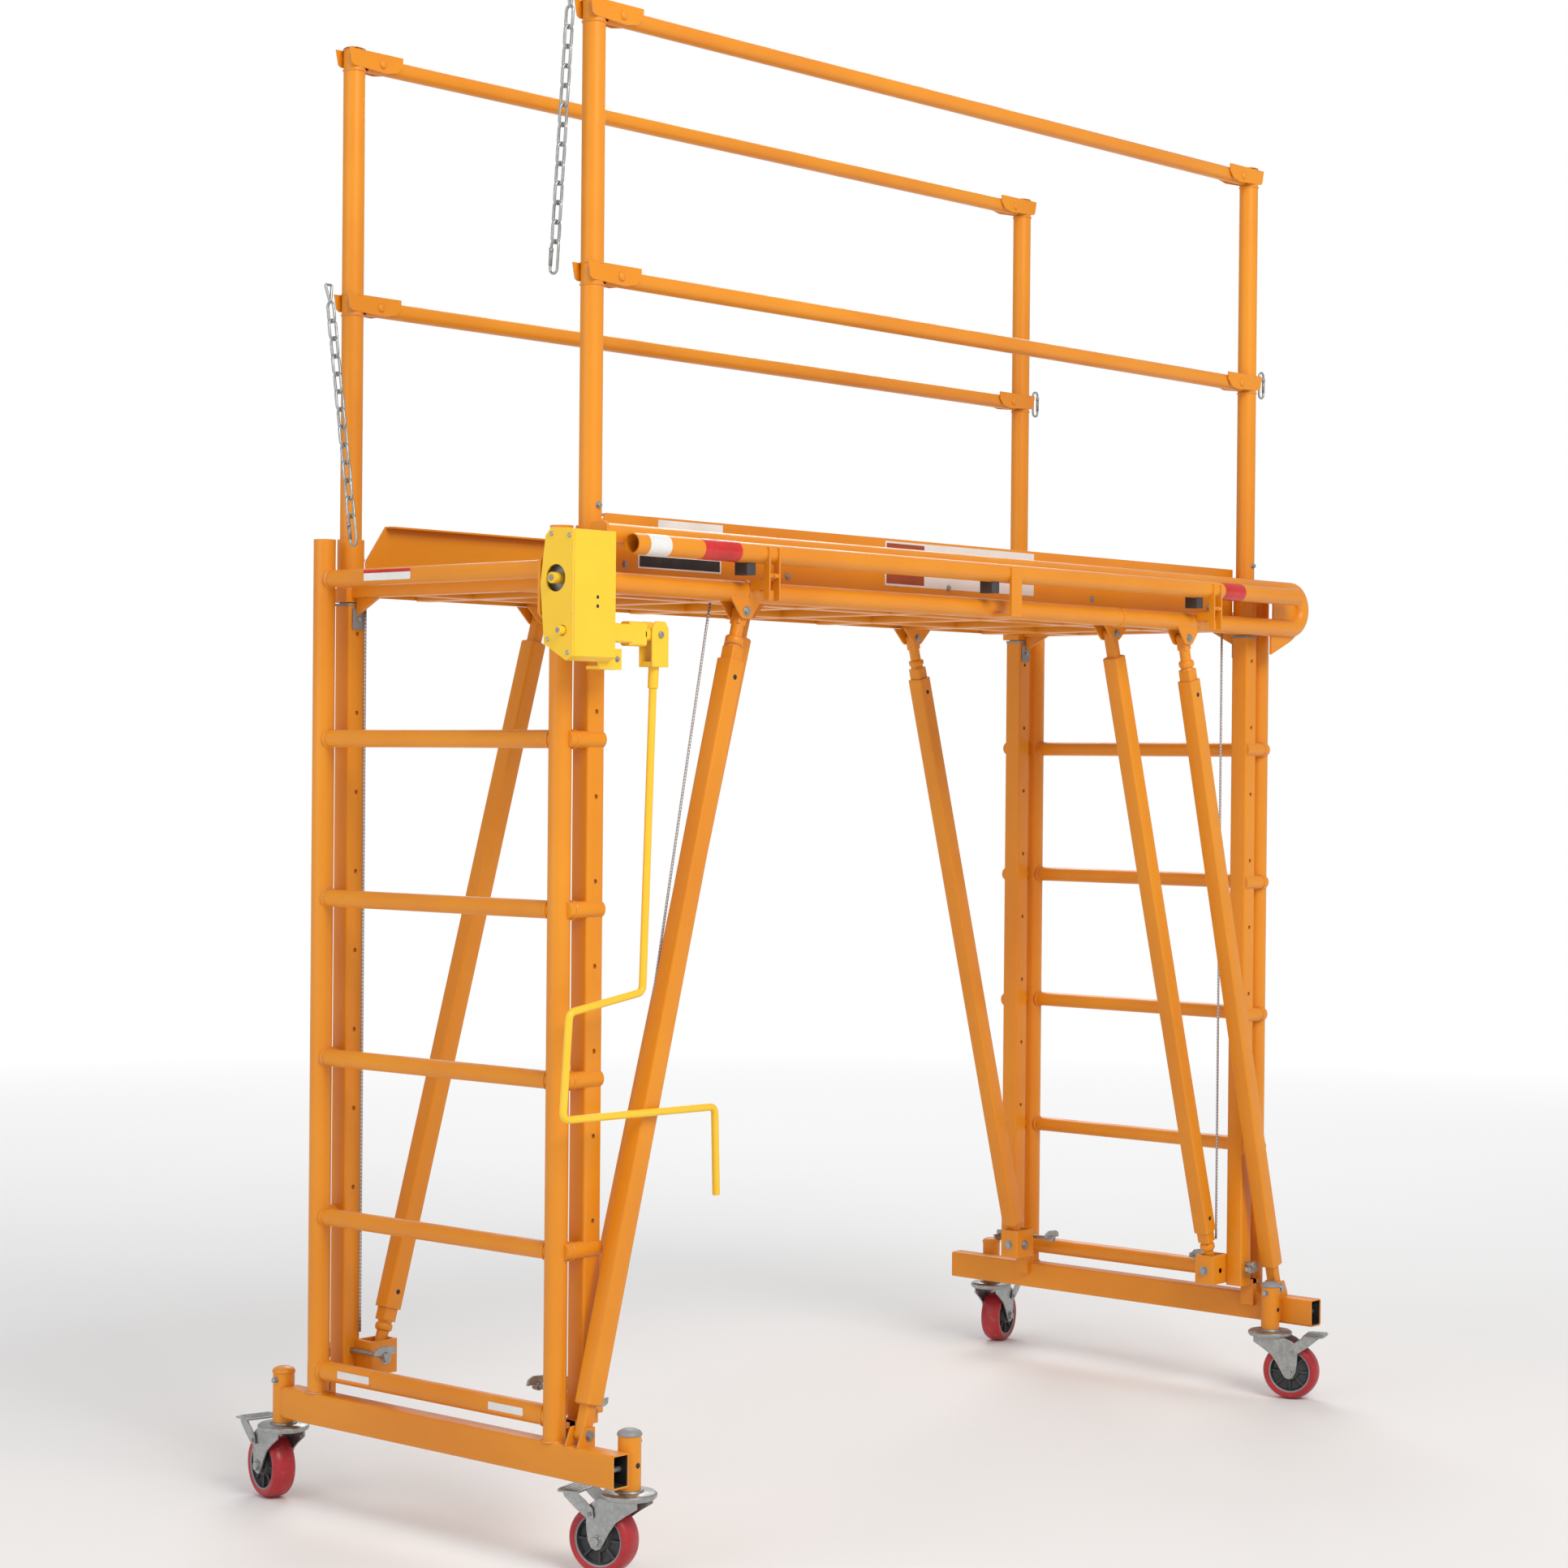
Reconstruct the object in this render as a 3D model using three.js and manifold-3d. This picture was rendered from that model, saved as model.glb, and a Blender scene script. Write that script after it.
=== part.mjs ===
// Baker scaffold with a winch-raised platform, in millimetres.
// +Z is up, X runs along the platform (the winch is at -X), Y runs across it.
// The origin is on the floor, under the middle of the whole scaffold's bounding box.
// Two welded end ladders stand on casters. The platform hangs between them on four inner masts
// that slide in the ladders' outer masts, and telescoping braces tie it to the feet.
import * as THREE from "three";
import { mergeVertices } from "three/addons/utils/BufferGeometryUtils.js";
import Module from "manifold-3d";

const wasm = await Module();
wasm.setup();

// ---------- driving dimensions ----------

const GAP = 0.3; // clearance between pieces that rest on each other

// End ladders
const RAIL_X = 1132;
const RAIL_Y = 322;
const RAIL_R = 21;
const RAIL_TOP = 1860;
const TUBE_WALL = 3;
const RUNG_R = 16.5;
const RUNG_FIRST_Z = 565;
const RUNG_PITCH = 304.8;
const RUNG_COUNT = 5; // four rungs and the top crossbar
const RUNG_SIDES = 8;
const RUNG_WALL = 2.5;
const TIE_R = 19; // bottom tie tube
const TIE_Z = 270;
const STUB_Y = 338; // stubs from the rails across the masts' outer faces
const STUB_R = 15.5;

// Outer masts, with lock-pin holes
const MAST_X = 1064;
const MAST_Y = 325;
const MAST_W = 42;
const MAST_WALL = 3.2;
const MAST_FOOT_Z = 250;
const MAST_TOP_Z = 1735;
const TIE_PLATE_W = 34; // plates that tie a mast's foot to the rail and the beam
const TIE_PLATE_TOP = 260;
const TIE_POST_X = [1100, 1114];
const TIE_POST_BOTTOM = 200;
const PIN_HOLE_R = 4.5; // through the outer wall
const PIN_HOLES_ABOVE_RUNG = [50, 202.4];

// Base beams and caster sockets
const BEAM_W = 41;
const BEAM_H = 61;
const BEAM_Z = 166;
const BEAM_WALL = 3;
const BEAM_TOP = BEAM_Z + BEAM_H;
const SOCKET_R = 21;
const SOCKET_BORE_R = 12.8;
const SOCKET_Z = [155, 252];
const SOCKET_CROWN = 6; // solid top above the bore
const SOCKET_LUG_W = 24;
const SOCKET_LUG_REACH = 30;
const SOCKET_BOLT_Z = 238;
const SOCKET_BOLT_R = 5;
const ENDS = {
  near: { sign: -1, beamY: [-488, 403], sockets: { front: [-1088, -466], rear: [-1132, 424] } },
  far: { sign: 1, beamY: [-491, 550], sockets: { front: [1088, -397], rear: [1177, 477] } },
};

// Casters
const WHEEL_R = 63.5;
const WHEEL_HALF = 24;
const TRAIL = 50;
const CASTER_YAW = { near_front: 105, near_rear: 77, far_front: -70, far_rear: 14 };
const AXLE_R = 6;
const AXLE_HALF = 37;
const NUT_R = 10;
const RACE_Z = 152; // top of the swivel race
const STEM_TOP = 238;
const FORK_IN = 27; // inner and outer faces of the fork's legs
const FORK_OUT = 31;
const PEDAL_PIVOT = [60, 112];
const PEDAL_ARM = [33, 36];
const PEDAL_TREAD_Z = [146, 150];
const PEDAL_BOSS_R = 4;

// Inner masts and the lift
const INNER_W = 32;
const INNER_WALL = 3;
const INNER_Z = [345, 1760];

// Foot boxes and foot latches
const BOX_X = [990, 1056];
const BOX_Y = [255, 305];
const BOX_Z = [255, 320];
const BOX_WALL = 6;
const FOOT_PIVOT = [1020, 280, 285];
const PIVOT_R = 6;
const PIN_HEAD_R = 10;
const PIN_HEAD_T = 5;
const LATCH_Z = 300;
const LATCH_R = 5;
const LATCH_Y = [208, 362];
const WING_T = 5;
const WING_HUB_R = 8;
const WING_HUB_HALF = 7;

// Braces
const SLEEVE_W = 38;
const SLEEVE_BORE = 31.4;
const INNER_TUBE_W = 30;
const TONGUE_R = 11;
const TONGUE_HALF = 12;
const TONGUE_LENGTH = 58;
const INNER_TOP_PIVOT = [600, 280, 1730];
const OUTER_TOP_PIVOT = [727, 385, 1722];
const OUTER_FOOT_PIVOT = [1124, 385, 246];
const NECK_LENGTH = 95;
const NECK_R = 12;
const NECK_TUBE_FROM = 70; // the thin tube starts this far from its own pivot
const NECK_TUBE_SHORT = 190; // and stops this far from the other pivot
const RING_R = 17;
const RING_Z = [52, 64];
const EYE_PLATE = 26;
const FREE_FIT = 0.5; // how much larger a hole's radius is than its pin's
const LUG_T = 4;
const LUG_CLEARANCE = 1; // between a brace's eye and the plates beside it

// Platform
const BOARD_Y = 300;
const BOARD_Z = [1752, 1892];
const BOARD_T = 4;
const BOARD_X = 1048;
const BOARD_SLOPE = [50, 70]; // the cut corner at the winch end, along X and down Z
const BOARD_FLANGE = 22;
const DECK_TOP = 1790;
const DECK_T = 18;
const CROSS_Z = [1750, 1771];
const CROSS_X = [-900, -600, -300, 0, 300, 600, 900];
const CROSS_W = 40;
const STRINGER_Y = 150;
const STRINGER_W = 30;
const END_MEMBER_X = [1052, 1080];
const HEAD_X = [1036, 1092];
const HEAD_Y = [303, 350];
const HEAD_Z = [1742, 1768];
const POST_SOCKET_R = 26;
const POST_SOCKET_TOP = 1862;
const CORNER_GUSSET_Y = [235, 302];
const CORNER_GUSSET_DROP = 34;
const LOCK_BAR_Y = [-359, -347.5];
const LOCK_BAR_T = 9;
const LOCK_BAR_X = [
  [-1064, -908],
  [1016, 1168],
];
const WINCH_PLATE_T = 6;
const WINCH_PLATE_Z = [1690, 1800];
const WINCH_PLATE_END = -1045;
const GUSSET_FOOT = 16; // half widths of a gusset at the eye and at the rail
const GUSSET_HEAD = 48;
const GUSSET_BOLT_R = 9;
const SIDE_RAIL_Y = -385;
const SIDE_RAIL_Z = [1759, 1845];
const SIDE_RAIL_R = 20;
const SIDE_RAIL_X = [-1100, 1160];
const STANDOFF_X = [-940, -500, 0, 500, 940];
const STANDOFF_W = 14;
const END_PLATE_W = 44;
const BUMPER_Y = -430;
const BUMPER_Z = 1828;
const BUMPER_R = 19;
const BUMPER_X = [-1064, 1118];
const BUMPER_WALL = 2.5;
const BRACKET_X = [-705, 765];
const BRACKET_CHEEK = [11, 17]; // inner and outer faces of a bracket's cheeks
const BRACKET_BRIDGE_Z = [1786, 1792];
const STRAP_X = 35;
const STRAP_W = 34;
const STRAP_T = 6;

// Guardrails
const POST_R = 21;
const POST_Z = [1762, 2790];
const RAIL_HEIGHTS = { mid: 2315, top: 2786 };
const GUARD_R = 16.5;
const GUARD_HALF = 1037;
const CHANNEL_OUT = 64;
const CHANNEL_IN = 107;
const CHANNEL_HALF_GAP = 18;
const CHANNEL_T = 3.5;
const CHANNEL_ROOF = 20; // underside of the channel above the rail's axis
const GUARD_BOLT_X = 54;
const GUARD_BOLT_R = 5;
const GUARD_BOLT_HEAD = [9, 6]; // radius and height
const CHAIN_SLOT_X = [46, 58]; // outboard of the post's axis
const CHAIN_SLOT_W = 18;

// Winch
const WINCH_X = [-1224, -1117];
const WINCH_Y = [-443, -362];
const WINCH_Z = [1615, 1849];
const WINCH_WALL = 3;
const COVER_T = 4;
const DRUM_AXIS = [-400, 1760]; // y, z
const INPUT_AXIS = [-418, 1668]; // y, z
const DRUM_R = 24;
const DRUM_FLANGE_R = 32;
const DRUM_FLANGE_T = 4;
const DRUM_SHAFT_R = 10;
const INPUT_R = 8;
const INPUT_HOLE_R = 9;
const BEARING_R = 15;
const CABLE_GUIDE_Z = [1603, 1640];
const CABLE_GUIDE_T = 6;
const JOINT_X = -993; // universal joint
const YOKE_HALF = 21; // half width of the crank's yoke along X
const YOKE_Z = [-58, 24];
const YOKE_EAR = [13, 17];
const YOKE_BRIDGE_T = 10;
const CRANK_ROD_R = 7;
// Corners of the crank's bent rod, as [x, z] from the universal joint.
const CRANK_PATH = [
  [0, -50],
  [-22, -640],
  [-206, -668],
  [-220, -855],
  [172, -860],
  [178, -1024],
];

// Chains
const LINK_PITCH = 34;
const LINK_WIRE = 5;
const LINK_W = 20;
const LINK_BITE = 0.6; // how far one link presses into the next
const LINK_RISE = 10; // how far the first link stands above the slot it hangs in
const CHAIN_LINKS = 13;
const HOOK_W = 24;
const HOOK_HEIGHT = 66;
const CHAINS = {
  front: { level: "top", lean: 4.5 },
  rear: { level: "mid", lean: -9 },
};

// Round shapes
const TUBE_SIDES = 10;
const SMALL_SIDES = 8;
const HOLE_SIDES = 6;
const WHEEL_SIDES = 14;
const BEND_STEPS = 6;

// ---------- materials ----------

// Each mesh gets a material of its own, made from one of these looks.
const ORANGE = { name: "orange powder coat", color: 0xf09a2e, roughness: 0.42, metalness: 0.1 };
const YELLOW = { name: "yellow paint", color: 0xffd340, roughness: 0.35, metalness: 0.1 };
const ZINC = { name: "zinc plate", color: 0xa8adb0, roughness: 0.35, metalness: 0.9 };
const RED = { name: "red polyurethane", color: 0xb5141c, roughness: 0.4, metalness: 0.0 };
const STEEL_CABLE = { name: "galvanised cable", color: 0xc4c8ca, roughness: 0.45, metalness: 0.8 };
const PLYWOOD = { name: "plywood", color: 0xb98d55, roughness: 0.7, metalness: 0.0 };

// ---------- solid helpers ----------

function solid(geometry) {
  const bare = geometry.clone();
  bare.deleteAttribute("normal");
  bare.deleteAttribute("uv");
  const merged = mergeVertices(bare, 1e-4);
  return new wasm.Manifold(
    new wasm.Mesh({
      numProp: 3,
      vertProperties: new Float32Array(merged.attributes.position.array),
      triVerts: new Uint32Array(merged.index.array),
    }),
  );
}

const join = (parts) => parts.reduce((whole, part) => whole.add(part));
const cut = (body, tools) => (tools.length ? body.subtract(join(tools)) : body);

function piece(name, shape, look) {
  const made = shape.getMesh();
  const positions = new Float32Array(made.numVert * 3);
  for (let i = 0; i < made.numVert; i++) {
    const start = i * made.numProp;
    positions.set(made.vertProperties.subarray(start, start + 3), i * 3);
  }
  const geometry = new THREE.BufferGeometry();
  geometry.setAttribute("position", new THREE.BufferAttribute(positions, 3));
  geometry.setIndex(new THREE.BufferAttribute(new Uint32Array(made.triVerts), 1));
  geometry.computeVertexNormals();
  const mesh = new THREE.Mesh(geometry, new THREE.MeshStandardMaterial(look));
  mesh.name = name;
  return mesh;
}

const vector = ([x, y, z]) => new THREE.Vector3(x, y, z);

// A box from its two corners, in any order.
function box([x0, x1], [y0, y1], [z0, z1]) {
  const geometry = new THREE.BoxGeometry(Math.abs(x1 - x0), Math.abs(y1 - y0), Math.abs(z1 - z0));
  geometry.translate((x0 + x1) / 2, (y0 + y1) / 2, (z0 + z1) / 2);
  return solid(geometry);
}

// A round bar between two points.
function rod(from, to, radius, sides = TUBE_SIDES) {
  const start = vector(from);
  const along = vector(to).sub(start);
  const geometry = new THREE.CylinderGeometry(radius, radius, along.length(), sides);
  const turn = new THREE.Quaternion().setFromUnitVectors(
    new THREE.Vector3(0, 1, 0),
    along.clone().normalize(),
  );
  geometry.applyQuaternion(turn);
  geometry.translate(...start.addScaledVector(along, 0.5).toArray());
  return solid(geometry);
}

// A half turn in the XZ plane about a centre, from straight below it to straight above it.
class Bend extends THREE.Curve {
  constructor(centre, radius) {
    super();
    this.centre = vector(centre);
    this.radius = radius;
  }

  getPoint(t) {
    const angle = (t - 0.5) * Math.PI;
    const offset = new THREE.Vector3(Math.cos(angle), 0, Math.sin(angle));
    return offset.multiplyScalar(this.radius).add(this.centre);
  }
}

// A round bar swept along a curve.
function alongCurve(curve, radius, steps) {
  const circle = new THREE.Shape().absarc(0, 0, radius, 0, 2 * Math.PI, false);
  return solid(
    new THREE.ExtrudeGeometry(circle, {
      extrudePath: curve,
      steps,
      curveSegments: TUBE_SIDES,
      bevelEnabled: false,
    }),
  );
}

// A plate in the XZ plane, from y0 to y1, with its outline given as [x, z] points.
function plateXZ(outline, [y0, y1]) {
  const shape = new THREE.Shape(outline.map(([x, z]) => new THREE.Vector2(x, z)));
  const depth = Math.abs(y1 - y0);
  const geometry = new THREE.ExtrudeGeometry(shape, { depth, bevelEnabled: false });
  geometry.rotateX(Math.PI / 2);
  geometry.translate(0, Math.max(y0, y1), 0);
  return solid(geometry);
}

// A plate in the YZ plane, from x0 to x1, with its outline given as [y, z] points.
function plateYZ(outline, [x0, x1]) {
  const shape = new THREE.Shape(outline.map(([y, z]) => new THREE.Vector2(y, z)));
  const depth = Math.abs(x1 - x0);
  const geometry = new THREE.ExtrudeGeometry(shape, { depth, bevelEnabled: false });
  geometry.rotateX(Math.PI / 2);
  geometry.rotateZ(Math.PI / 2);
  geometry.translate(Math.min(x0, x1), 0, 0);
  return solid(geometry);
}

// A plate in the XY plane, from z0 to z1.
function plateXY(outline, [z0, z1]) {
  const shape = new THREE.Shape(outline.map(([x, y]) => new THREE.Vector2(x, y)));
  const geometry = new THREE.ExtrudeGeometry(shape, { depth: z1 - z0, bevelEnabled: false });
  geometry.translate(0, 0, z0);
  return solid(geometry);
}

// A turned shape about the Z axis, from [radius, z] points that start and end on the axis.
function turnedZ(profile, sides) {
  const points = profile.map(([r, z]) => new THREE.Vector2(r, z));
  const geometry = new THREE.LatheGeometry(points, sides);
  geometry.rotateX(Math.PI / 2);
  return solid(geometry);
}

const range = (count) => Array.from({ length: count }, (_, i) => i);
const both = [-1, 1];
const SIDES = { front: -1, rear: 1 };
const centred = (middle, width) => [middle - width / 2, middle + width / 2];
const ordered = (a, b) => [Math.min(a, b), Math.max(a, b)];
const times = (sign, [a, b]) => ordered(sign * a, sign * b);

// ---------- end ladders ----------

const rungHeights = range(RUNG_COUNT).map((k) => RUNG_FIRST_Z + k * RUNG_PITCH);

// Box beside each mast foot: it holds the lower pin of an inner brace.
function footBox(end, side) {
  const [pivotX, pivotY, pivotZ] = FOOT_PIVOT;
  const shell = box(times(end, BOX_X), times(side, BOX_Y), BOX_Z);
  const cavity = box(
    times(end, [BOX_X[0] + BOX_WALL, BOX_X[1] - BOX_WALL]),
    times(side, [BOX_Y[0] + BOX_WALL, BOX_Y[1] - BOX_WALL]),
    [BOX_Z[0] + BOX_WALL, BOX_Z[1] + 1],
  );
  const pin = rod(
    [end * pivotX, side * BOX_Y[0], pivotZ],
    [end * pivotX, side * BOX_Y[1], pivotZ],
    PIVOT_R,
    SMALL_SIDES,
  );
  const head = rod(
    [end * pivotX, side * (BOX_Y[0] - PIN_HEAD_T), pivotZ],
    [end * pivotX, side * (BOX_Y[0] + 1), pivotZ],
    PIN_HEAD_R,
    SMALL_SIDES,
  );
  const faceBolt = rod(
    [end * (BOX_X[0] - PIN_HEAD_T), side * pivotY, pivotZ],
    [end * (BOX_X[0] + 1), side * pivotY, pivotZ],
    PIN_HEAD_R - 2,
    SMALL_SIDES,
  );
  return join([shell.subtract(cavity), pin, head, faceBolt]);
}

// Vertical tube that takes a caster stem, lugged to the beam.
function socket([x, y], end) {
  const beamX = end * RAIL_X;
  const tube = rod([x, y, SOCKET_Z[0]], [x, y, SOCKET_Z[1]], SOCKET_R);
  const lugHeight = [BEAM_Z + 6, BEAM_TOP - 4];
  const onBeamEnd = x === beamX;
  const lug = onBeamEnd
    ? box(centred(x, BEAM_W - 3), ordered(y, y - SOCKET_LUG_REACH), lugHeight)
    : box(ordered(x, beamX), centred(y, SOCKET_LUG_W), lugHeight);
  const away = Math.sign(x - beamX) || end;
  const boltTip = x + away * (SOCKET_R + 7);
  const bolt = rod([x, y, SOCKET_BOLT_Z], [boltTip, y, SOCKET_BOLT_Z], SOCKET_BOLT_R, SMALL_SIDES);
  return join([tube, lug, bolt]);
}

// Two ears on the beam for the foot of an outer brace, with their pin.
function outerBraceLug(end) {
  const [x, y, z] = OUTER_FOOT_PIVOT;
  const half = 14;
  const heel = 30;
  const outline = [
    [end * (x - half), BEAM_TOP - 20],
    [end * (x + heel), BEAM_TOP - 20],
    [end * (x + heel), BEAM_TOP + 4],
    [end * (x + half), z + half],
    [end * (x - half), z + half],
  ];
  const near = TONGUE_HALF + LUG_CLEARANCE;
  const ears = both.map((s) => plateXZ(outline, ordered(-y + s * near, -y + s * (near + LUG_T))));
  const reach = near + LUG_T + 3;
  const pin = rod([end * x, -y - reach, z], [end * x, -y + reach, z], PIVOT_R, SMALL_SIDES);
  return join([...ears, pin]);
}

function endLadder(name) {
  const { sign: end, beamY, sockets } = ENDS[name];
  const x = end * RAIL_X;
  const mastX = end * MAST_X;
  const body = [];
  const bores = [];

  for (const side of Object.values(SIDES)) {
    const railY = side * RAIL_Y;
    body.push(rod([x, railY, BEAM_TOP - 2], [x, railY, RAIL_TOP], RAIL_R));
    bores.push(
      rod([x, railY, BEAM_TOP + 5], [x, railY, RAIL_TOP + 1], RAIL_R - TUBE_WALL, SMALL_SIDES),
    );

    const mastY = side * MAST_Y;
    const mastBore = MAST_W - 2 * MAST_WALL;
    body.push(box(centred(mastX, MAST_W), centred(mastY, MAST_W), [MAST_FOOT_Z, MAST_TOP_Z]));
    bores.push(
      box(centred(mastX, mastBore), centred(mastY, mastBore), [MAST_FOOT_Z - 1, MAST_TOP_Z + 1]),
    );

    // Foot tie plate from the mast to the rail, and the post that stands it on the beam.
    const tieX = [MAST_X + MAST_W / 2 - 2, RAIL_X - 8];
    const tieY = centred(mastY, TIE_PLATE_W);
    body.push(box(times(end, tieX), tieY, [MAST_FOOT_Z, TIE_PLATE_TOP]));
    body.push(box(times(end, TIE_POST_X), tieY, [TIE_POST_BOTTOM, TIE_PLATE_TOP]));

    const outerFace = side * (MAST_Y + MAST_W / 2 + 4);
    const innerFace = side * (MAST_Y - MAST_W / 2 - 4);
    for (const z of rungHeights.slice(0, RUNG_COUNT - 1)) {
      const from = [x, side * STUB_Y, z];
      const to = [end * (MAST_X - MAST_W / 2 + 2), side * STUB_Y, z];
      body.push(rod(from, to, STUB_R, SMALL_SIDES));
      for (const above of PIN_HOLES_ABOVE_RUNG) {
        const holeZ = z + above;
        bores.push(
          rod([mastX, mastY, holeZ], [mastX, outerFace, holeZ], PIN_HOLE_R, HOLE_SIDES),
        );
      }
    }

    body.push(footBox(end, side));
    const latchHoleR = LATCH_R + FREE_FIT;
    bores.push(
      rod([mastX, innerFace, LATCH_Z], [mastX, outerFace, LATCH_Z], latchHoleR, SMALL_SIDES),
    );
  }

  for (const z of rungHeights) {
    body.push(rod([x, -RAIL_Y, z], [x, RAIL_Y, z], RUNG_R, RUNG_SIDES));
    bores.push(rod([x, -RAIL_Y, z], [x, RAIL_Y, z], RUNG_R - RUNG_WALL, HOLE_SIDES));
  }
  body.push(rod([x, -RAIL_Y, TIE_Z], [x, RAIL_Y, TIE_Z], TIE_R, RUNG_SIDES));
  bores.push(rod([x, -RAIL_Y, TIE_Z], [x, RAIL_Y, TIE_Z], TIE_R - TUBE_WALL, HOLE_SIDES));

  const beamBottom = BEAM_Z + BEAM_WALL;
  body.push(box(centred(x, BEAM_W), beamY, [BEAM_Z, BEAM_TOP]));
  bores.push(
    box(centred(x, BEAM_W - 2 * BEAM_WALL), [beamY[0] - 1, beamY[1] + 1], [
      beamBottom,
      BEAM_TOP - BEAM_WALL,
    ]),
  );
  body.push(outerBraceLug(end));

  const tubes = Object.values(sockets).map((place) => socket(place, end));
  const boreTop = SOCKET_Z[1] - SOCKET_CROWN;
  const stemBores = Object.values(sockets).map(([sx, sy]) =>
    rod([sx, sy, SOCKET_Z[0] - 1], [sx, sy, boreTop], SOCKET_BORE_R),
  );
  const welded = cut(join([cut(join(body), bores), ...tubes]), stemBores);
  return piece(`${name}_end_ladder`, welded, ORANGE);
}

// Locking bar through a mast foot, with a finger wing at each end.
function footLatch(endName, sideName) {
  const end = ENDS[endName].sign;
  const side = SIDES[sideName];
  const group = new THREE.Group();
  group.position.set(end * MAST_X, 0, LATCH_Z);
  const [inner, outer] = LATCH_Y;
  const bar = rod([0, side * inner, 0], [0, side * outer, 0], LATCH_R, SMALL_SIDES);
  const wing = (y, up) => {
    const outline = [
      [-27, up * 3],
      [27, up * 3],
      [22, up * 17],
      [-12, up * 20],
    ];
    const hubFrom = [0, side * (y - WING_HUB_HALF), 0];
    const hubTo = [0, side * (y + WING_HUB_HALF), 0];
    return join([
      plateXZ(outline, centred(side * y, WING_T)),
      rod(hubFrom, hubTo, WING_HUB_R, SMALL_SIDES),
    ]);
  };
  const shape = join([bar, wing(inner, 1), wing(outer, -1)]);
  group.add(piece(`${endName}_${sideName}_foot_latch`, shape, ZINC));
  return group;
}

// ---------- casters ----------

// The caster is drawn with its stem on Z and its wheel trailing along +X.
function caster(endName, sideName) {
  const name = `${endName}_${sideName}`;
  const [x, y] = ENDS[endName].sockets[sideName];
  const group = new THREE.Group();
  group.position.set(x, y, 0);
  group.rotation.z = THREE.MathUtils.degToRad(CASTER_YAW[name]);
  group.add(
    piece(`${name}_caster_fork`, casterFork(), ZINC),
    piece(`${name}_caster_wheel`, casterWheel(), RED),
    piece(`${name}_brake_pedal`, brakePedal(), ZINC),
  );
  return group;
}

function casterFork() {
  const race = turnedZ(
    [
      [0, 138],
      [40, 138],
      [50, 143],
      [50, RACE_Z],
      [0, RACE_Z],
    ],
    TUBE_SIDES,
  );
  const stem = rod([0, 0, RACE_Z - 2], [0, 0, STEM_TOP], SOCKET_BORE_R - 0.8, SMALL_SIDES);
  const leg = [
    [-32, 128],
    [10, 100],
    [35, 60],
    [41, 51],
    [50, 47.5],
    [59, 51],
    [66, 64],
    [70, 104],
    [68, 124],
    [42, 140],
    [-32, 140],
  ];
  const legs = both.map((s) => plateXZ(leg, ordered(s * FORK_IN, s * FORK_OUT)));
  const axleAt = (y) => [TRAIL, y, WHEEL_R];
  const axle = rod(axleAt(-AXLE_HALF), axleAt(AXLE_HALF), AXLE_R, SMALL_SIDES);
  const nuts = both.map((s) =>
    rod(axleAt(s * (FORK_OUT - 1)), axleAt(s * AXLE_HALF), NUT_R, HOLE_SIDES),
  );
  const [px, pz] = PEDAL_PIVOT;
  const bosses = both.map((s) =>
    rod([px, s * (FORK_OUT - 1), pz], [px, s * (PEDAL_ARM[1] + 2), pz], PEDAL_BOSS_R, SMALL_SIDES),
  );
  return join([race, stem, ...legs, axle, ...nuts, ...bosses]);
}

// Cast hub with a bonded polyurethane tread.
function casterWheel() {
  const half = [
    [AXLE_R + 0.6, 22],
    [20, 22],
    [24, 12],
    [43, 12],
    [47, WHEEL_HALF],
    [58, WHEEL_HALF],
    [WHEEL_R, 12],
  ];
  const mirrored = half.map(([r, y]) => [r, -y]).reverse();
  const profile = [...half, ...mirrored, half[0]].map(([r, y]) => new THREE.Vector2(r, -y));
  const geometry = new THREE.LatheGeometry(profile, WHEEL_SIDES);
  geometry.translate(TRAIL, 0, WHEEL_R);
  return solid(geometry);
}

function brakePedal() {
  const [px, pz] = PEDAL_PIVOT;
  const arm = [
    [px - 8, pz - 7],
    [px + 8, pz - 7],
    [px + 52, pz + 26],
    [px + 56, pz + 38],
    [px + 30, pz + 38],
    [px - 6, pz + 10],
  ];
  const arms = both.map((s) => plateXZ(arm, times(s, PEDAL_ARM)));
  const tread = plateXY(
    [
      [px + 22, -36],
      [px + 62, -42],
      [px + 70, -20],
      [px + 70, 20],
      [px + 62, 42],
      [px + 22, 36],
    ],
    PEDAL_TREAD_Z,
  );
  const [armIn, armOut] = PEDAL_ARM;
  const holeR = PEDAL_BOSS_R + FREE_FIT;
  const holes = both.map((s) =>
    rod([px, s * (armIn - 1), pz], [px, s * (armOut + 1), pz], holeR, SMALL_SIDES),
  );
  return cut(join([...arms, tread]), holes);
}

// ---------- telescoping braces ----------

// A square bar about the Z axis.
const squareBar = (width, z) => box(centred(0, width), centred(0, width), z);

// The eye at a brace's end, on its flat plate. The hole is cut by eyeHole.
function eye(pivotZ, plateZ) {
  const ring = rod([0, -TONGUE_HALF, pivotZ], [0, TONGUE_HALF, pivotZ], TONGUE_R, TUBE_SIDES);
  return join([ring, box([-TONGUE_R, TONGUE_R], [-TONGUE_HALF, TONGUE_HALF], plateZ)]);
}

const eyeHole = (pivotZ) =>
  rod([0, -SLEEVE_W, pivotZ], [0, SLEEVE_W, pivotZ], PIVOT_R + FREE_FIT, SMALL_SIDES);

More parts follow.
